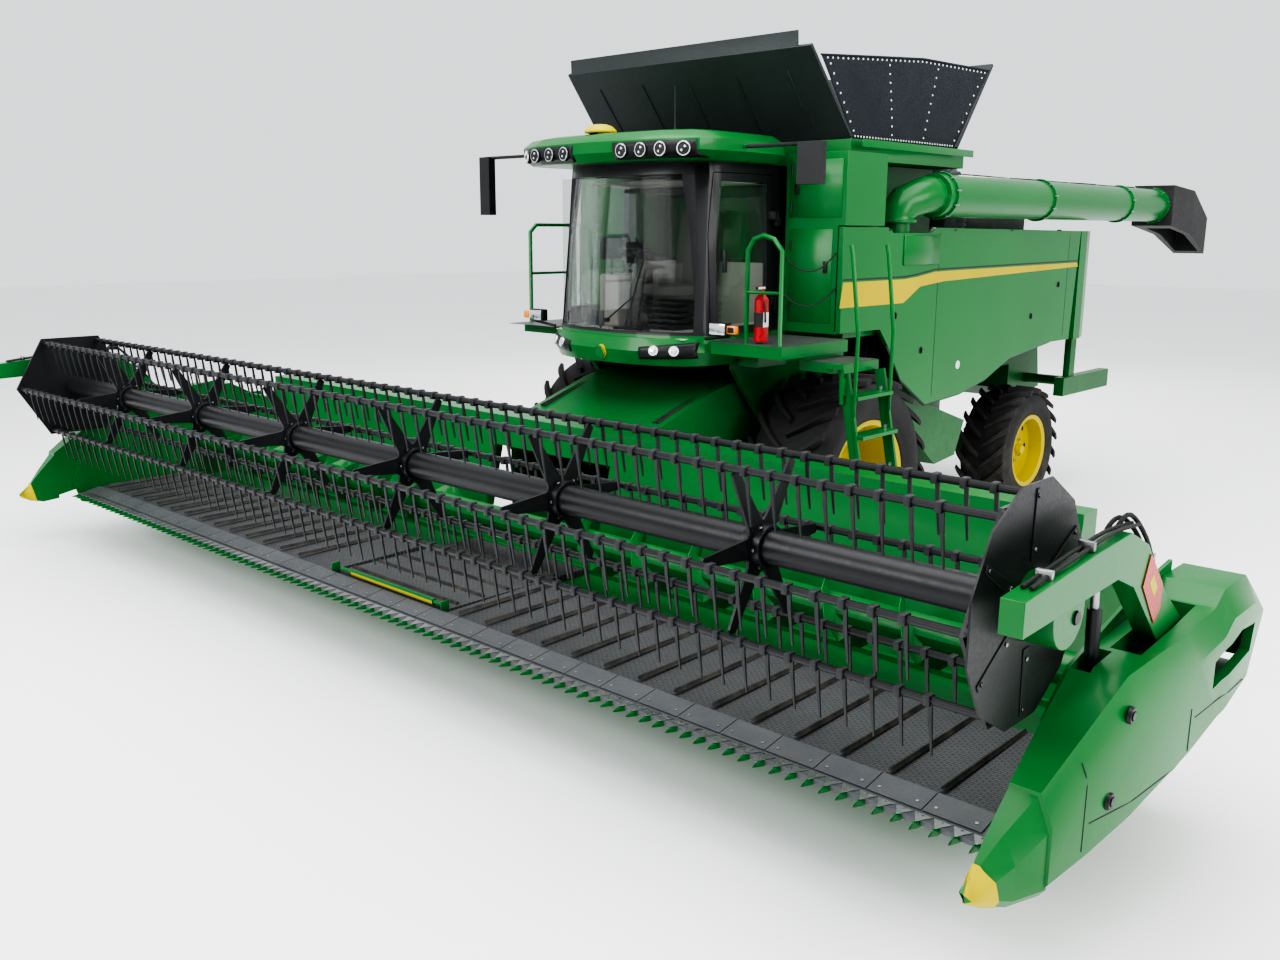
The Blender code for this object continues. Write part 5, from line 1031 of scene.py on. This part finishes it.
# platforms, ladder and bulkhead
makeBoxes("deckPlates", "treadPlate", "body", [
    ((0.98, 1.695), (-1.31, -0.38), (2.3005, 2.3045), 0), ((1.665, 2.0), (-0.92, -0.38), (2.1605, 2.1645), 0),
    ((-1.615, -0.98), (-1.31, -0.38), (2.3005, 2.3045), 0)])
bm = bmesh.new()                                  # extinguisher
foot = byAxle(1.40, -1.20, 2.32)
for z, rise, radius, tip, count, slot in ((0, 0.34, 0.058, None, 28, 0), (0.34, 0.05, 0.058, 0.022, 28, 0),
                                          (0.39, 0.04, 0.020, None, 14, 1)):
    addBolt(bm, foot + upward * z, upward * rise, radius, count, slot, tip)
addBox(bm, (foot.x - 0.014, foot.x + 0.014), (-0.07, 0.03), (foot.z + 0.42, foot.z + 0.445), 1, 0.004, foot.y)
addBolt(bm, foot + upward * 0.12, upward * 0.12, 0.0588, 28, 2)
addPipe(bm, rounded([foot + Vector(p) for p in ((0, -0.03, 0.42), (0.05, -0.06, 0.38), (0.066, -0.045, 0.28),
                                                (0.064, -0.03, 0.16))], 4), 0.008, 8, 1)
makePiece("extinguisher", bm, "signalRed hoseBlack labelWhite", "body", 0.004)
bm = bmesh.new()
for k in range(5):
    spot = Vector((2.055, 0, 2.09)).lerp(Vector((2.36, 0, 0.52)), (k + 0.5) / 5)
    for y in (-0.94, -0.43):
        addBolt(bm, byAxle(spot.x, y - 0.012, spot.z), rearward * 0.024, 0.016, 12)
makePiece("ladderBolts", bm, "bareSteel", "ladder")

makeBoxes("bulkheadHatches", "harvestGreen", "body", [
    ((1.03, 1.48), (-0.336, -0.328), (2.42, 3.22), 0.003),
    ((1.02, 1.56), (-0.336, -0.328), (3.32, 3.80), 0.003)], 0.002)
bm = bmesh.new()
for x, z in ((1.42, 2.9), (1.10, 3.56)):
    addBox(bm, (x - 0.02, x + 0.02), (-0.350, -0.336), (z - 0.05, z + 0.05), 0, 0.005)
for z in (2.55, 3.08, 3.40, 3.72):
    addBolt(bm, byAxle(1.045, -0.342, z - 0.04), upward * 0.08, 0.009, 10)
makePiece("bulkheadHandles", bm, "satinBlack", "body")
chainSet = {"ends": ((1.64, -1.25), (1.52, -0.335)), "rows": ((3.02, 0.14), (2.72, 0.12)), "links": 40,
            "wire": 0.0028, "thick": 0.0075, "thin": 0.0055, "gap": 0.14}
bm = bmesh.new()                                  # chains across the way in, hooked between the posts
for z, sag in chainSet["rows"]:
    (x0, y0), (x1, y1) = chainSet["ends"]
    chain = [byAxle(x0 + (x1 - x0) * t, y0 + (y1 - y0) * t, z - sag * 4 * t * (1 - t))
             for t in [k / chainSet["links"] for k in range(chainSet["links"] + 1)]]
    addPipe(bm, chain, chainSet["wire"], 6)
    for k, (a, b) in enumerate(zip(chain, chain[1:])):
        gap = (b - a) * chainSet["gap"]
        addRod(bm, a + gap, b - gap, chainSet["thick"] if k % 2 else chainSet["thin"], sides=8)
makePiece("gateChains", bm, "hoseBlack", "body", sharp=50)
print("platforms and ladder")

# unloading auger
auger = {"x": 1.60, "z": 3.53, "boltRing": 0.213, "flanges": (1.22, 3.35, 5.55, 6.72), "boltsPerFlange": 10,
         "clips": (1.9, 2.7, 4.2, 5.0, 6.2)}
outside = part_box("unloading_auger")[1].x
bm = bmesh.new()
for y in auger["flanges"]:
    for k in range(auger["boltsPerFlange"]):
        t = 2 * pi * k / auger["boltsPerFlange"] + 0.2
        spot = byAxle(auger["x"] + auger["boltRing"] * cos(t), y, auger["z"] + auger["boltRing"] * sin(t))
        if abs(spot.x) < outside - 0.01:
            addBolt(bm, spot - rearward * 0.040, rearward * 0.080, 0.008)
makePiece("augerBolts", bm, "bareSteel", "unloading_auger")
bm = bmesh.new()
line = [byAxle(auger["x"] - 0.05, 1.3 + 0.45 * k, auger["z"] + (0.209 if k % 3 else 0.205)) for k in range(13)]
addPipe(bm, rounded(line, 3), 0.008, 8)
makePiece("augerCable", bm, "hoseBlack", "unloading_auger")
makeBoxes("augerClips", "bareSteel", "unloading_auger", [
    ((auger["x"] - 0.07, auger["x"] - 0.03), (y - 0.012, y + 0.012), (auger["z"] + 0.19, auger["z"] + 0.212), 0.003)
    for y in auger["clips"]])
print("auger")

# engine deck, duct and rear
duct = {"route": ((-0.55, 2.75, 3.185), (-0.55, 2.75, 3.62), (-0.40, 2.72, 3.78), (-0.1, 2.70, 3.83),
                  (0.55, 2.68, 3.83), (0.80, 2.68, 3.78), (0.95, 2.70, 3.62), (0.95, 2.70, 3.185)),
        "radius": 0.1415, "ribPitch": 0.035, "ribHalf": 0.008, "ribProud": 0.011}
bm = bmesh.new()
line = rounded([byAxle(*p) for p in duct["route"]], 10)
addPipe(bm, line, duct["radius"], 28)
run = 0.0
for a, b in zip(line, line[1:]):
    run += (b - a).length
    if run >= duct["ribPitch"]:
        run = 0.0
        along = (b - a).normalized() * duct["ribHalf"]
        addRod(bm, b - along, b + along, duct["radius"] + duct["ribProud"], sides=28)
makePiece("ductBellows", bm, "ramGrey", "body", sharp=50)

bm = bmesh.new()                                  # air cleaner, exhaust and covers above the deck
addBolt(bm, byAxle(-0.1, 3.3, 3.42), leftward * 0.72, 0.17, 32)
addBolt(bm, byAxle(0.62, 3.3, 3.42), leftward * 0.08, 0.13, 32)
for x, y, z, edge in (((-0.95, -0.35), (3.0, 4.1), (3.18, 3.56), 0.03), ((0.1, 0.95), (3.7, 4.5), (3.18, 3.40), 0.03),
                      ((0.75, 1.15), (2.2, 2.45), (3.18, 3.42), 0.02)):
    addBox(bm, x, y, z, 0, edge)
addBolt(bm, byAxle(-1.1, 3.5, 3.18), upward * 0.57, 0.075, 24)
addPipe(bm, rounded([byAxle(-1.1, y, z) for y, z in ((3.5, 3.70), (3.5, 3.85), (3.56, 3.93), (3.68, 3.95))], 5),
        0.052, 20)
makePiece("engineBay", bm, "engineGrey", "body", 0.006)
bm = bmesh.new()
for k in range(16):
    addBox(bm, (-0.93, -0.37), (3.04 + 0.064 * k, 3.07 + 0.064 * k), (3.561, 3.572), 0, 0.002)
for k in range(9):
    z = 2.57 + 0.048 * k
    addPlate(bm, [byAxle(-0.6, y, z + dz) for y, dz in ((5.30, 0), (5.37, -0.02), (5.372, -0.014), (5.302, 0.006))],
             (1.2, 0, 0))
makePiece("coolerLouvres", bm, "satinBlack", "body")

bm = bmesh.new()                                  # rear lamps on their brackets
for side in (1, -1):
    addBox(bm, (side * 1.02, side * 1.32), (5.16, 5.44), (2.10, 2.24), 0, 0.01)
    for k, slot in ((0, 1), (1, 2), (2, 1)):
        addBolt(bm, byAxle(side * (1.07 + 0.10 * k), 5.44, 2.17), rearward * 0.015, 0.042, 24, slot, 0.038)
    addBolt(bm, byAxle(side * 1.46, 5.985, 1.39), rearward * 0.005, 0.045, 24, 1)
    addBox(bm, (side * 0.2, side * 0.55), (5.401, 5.412), (2.20, 2.48), 0, 0.004)
makePiece("rearLamps", bm, "satinBlack signalRed signalAmber", "body")

bm = bmesh.new()                                  # side boxes low on the chassis
for side, wide in ((1, 1.42), (-1, 1.30)):
    addBox(bm, (side * 0.84, side * 1.30), (1.15, 2.35), (1.62, 2.05), 0, 0.02)
    addBox(bm, (side * 0.84, side * wide), (2.45, 3.0), (1.72, 2.10), 0, 0.02)
    for k in range(6):
        addBolt(bm, byAxle(side * 1.30, 1.25 + 0.2 * k, 1.70), leftward * side * 0.012, 0.012, slot=1)
makePiece("chassisBoxes", bm, "chassisGreen bareSteel", "body", 0.004)

pulleys = {"x": 1.20, "places": ((0.95, 2.05, 0.20), (1.75, 2.30, 0.13), (2.6, 2.05, 0.24))}
bm = bmesh.new()                                  # belt drive on the left of the separator
for y, z, r in pulleys["places"]:
    addSpun(bm, [(-0.03, r), (-0.012, r - 0.022), (0.012, r - 0.022), (0.03, r), (0.03, r - 0.05),
                 (0.008, r - 0.06), (0.008, 0.03), (-0.008, 0.03), (-0.008, r - 0.06), (-0.03, r - 0.05)],
            byAxle(pulleys["x"], y, z), 40)
    addBolt(bm, byAxle(0.90, y, z), leftward * 0.34, 0.032, 16)
makePiece("drivePulleys", bm, "engineGrey", "body")

bm = bmesh.new()                                  # hoses on the feeder house
for side in (1, -1):
    for x in (0.72, 0.68):
        hose = [byAxle(side * x, -1.70 + 0.25 * k, 1.625 + 0.075 * k) for k in range(4)]
        addPipe(bm, rounded(hose, 4), 0.013, 8)
makePiece("feederHoses", bm, "hoseBlack", "feeder_house")
print("engine, rear and chassis")

print("all pieces made")
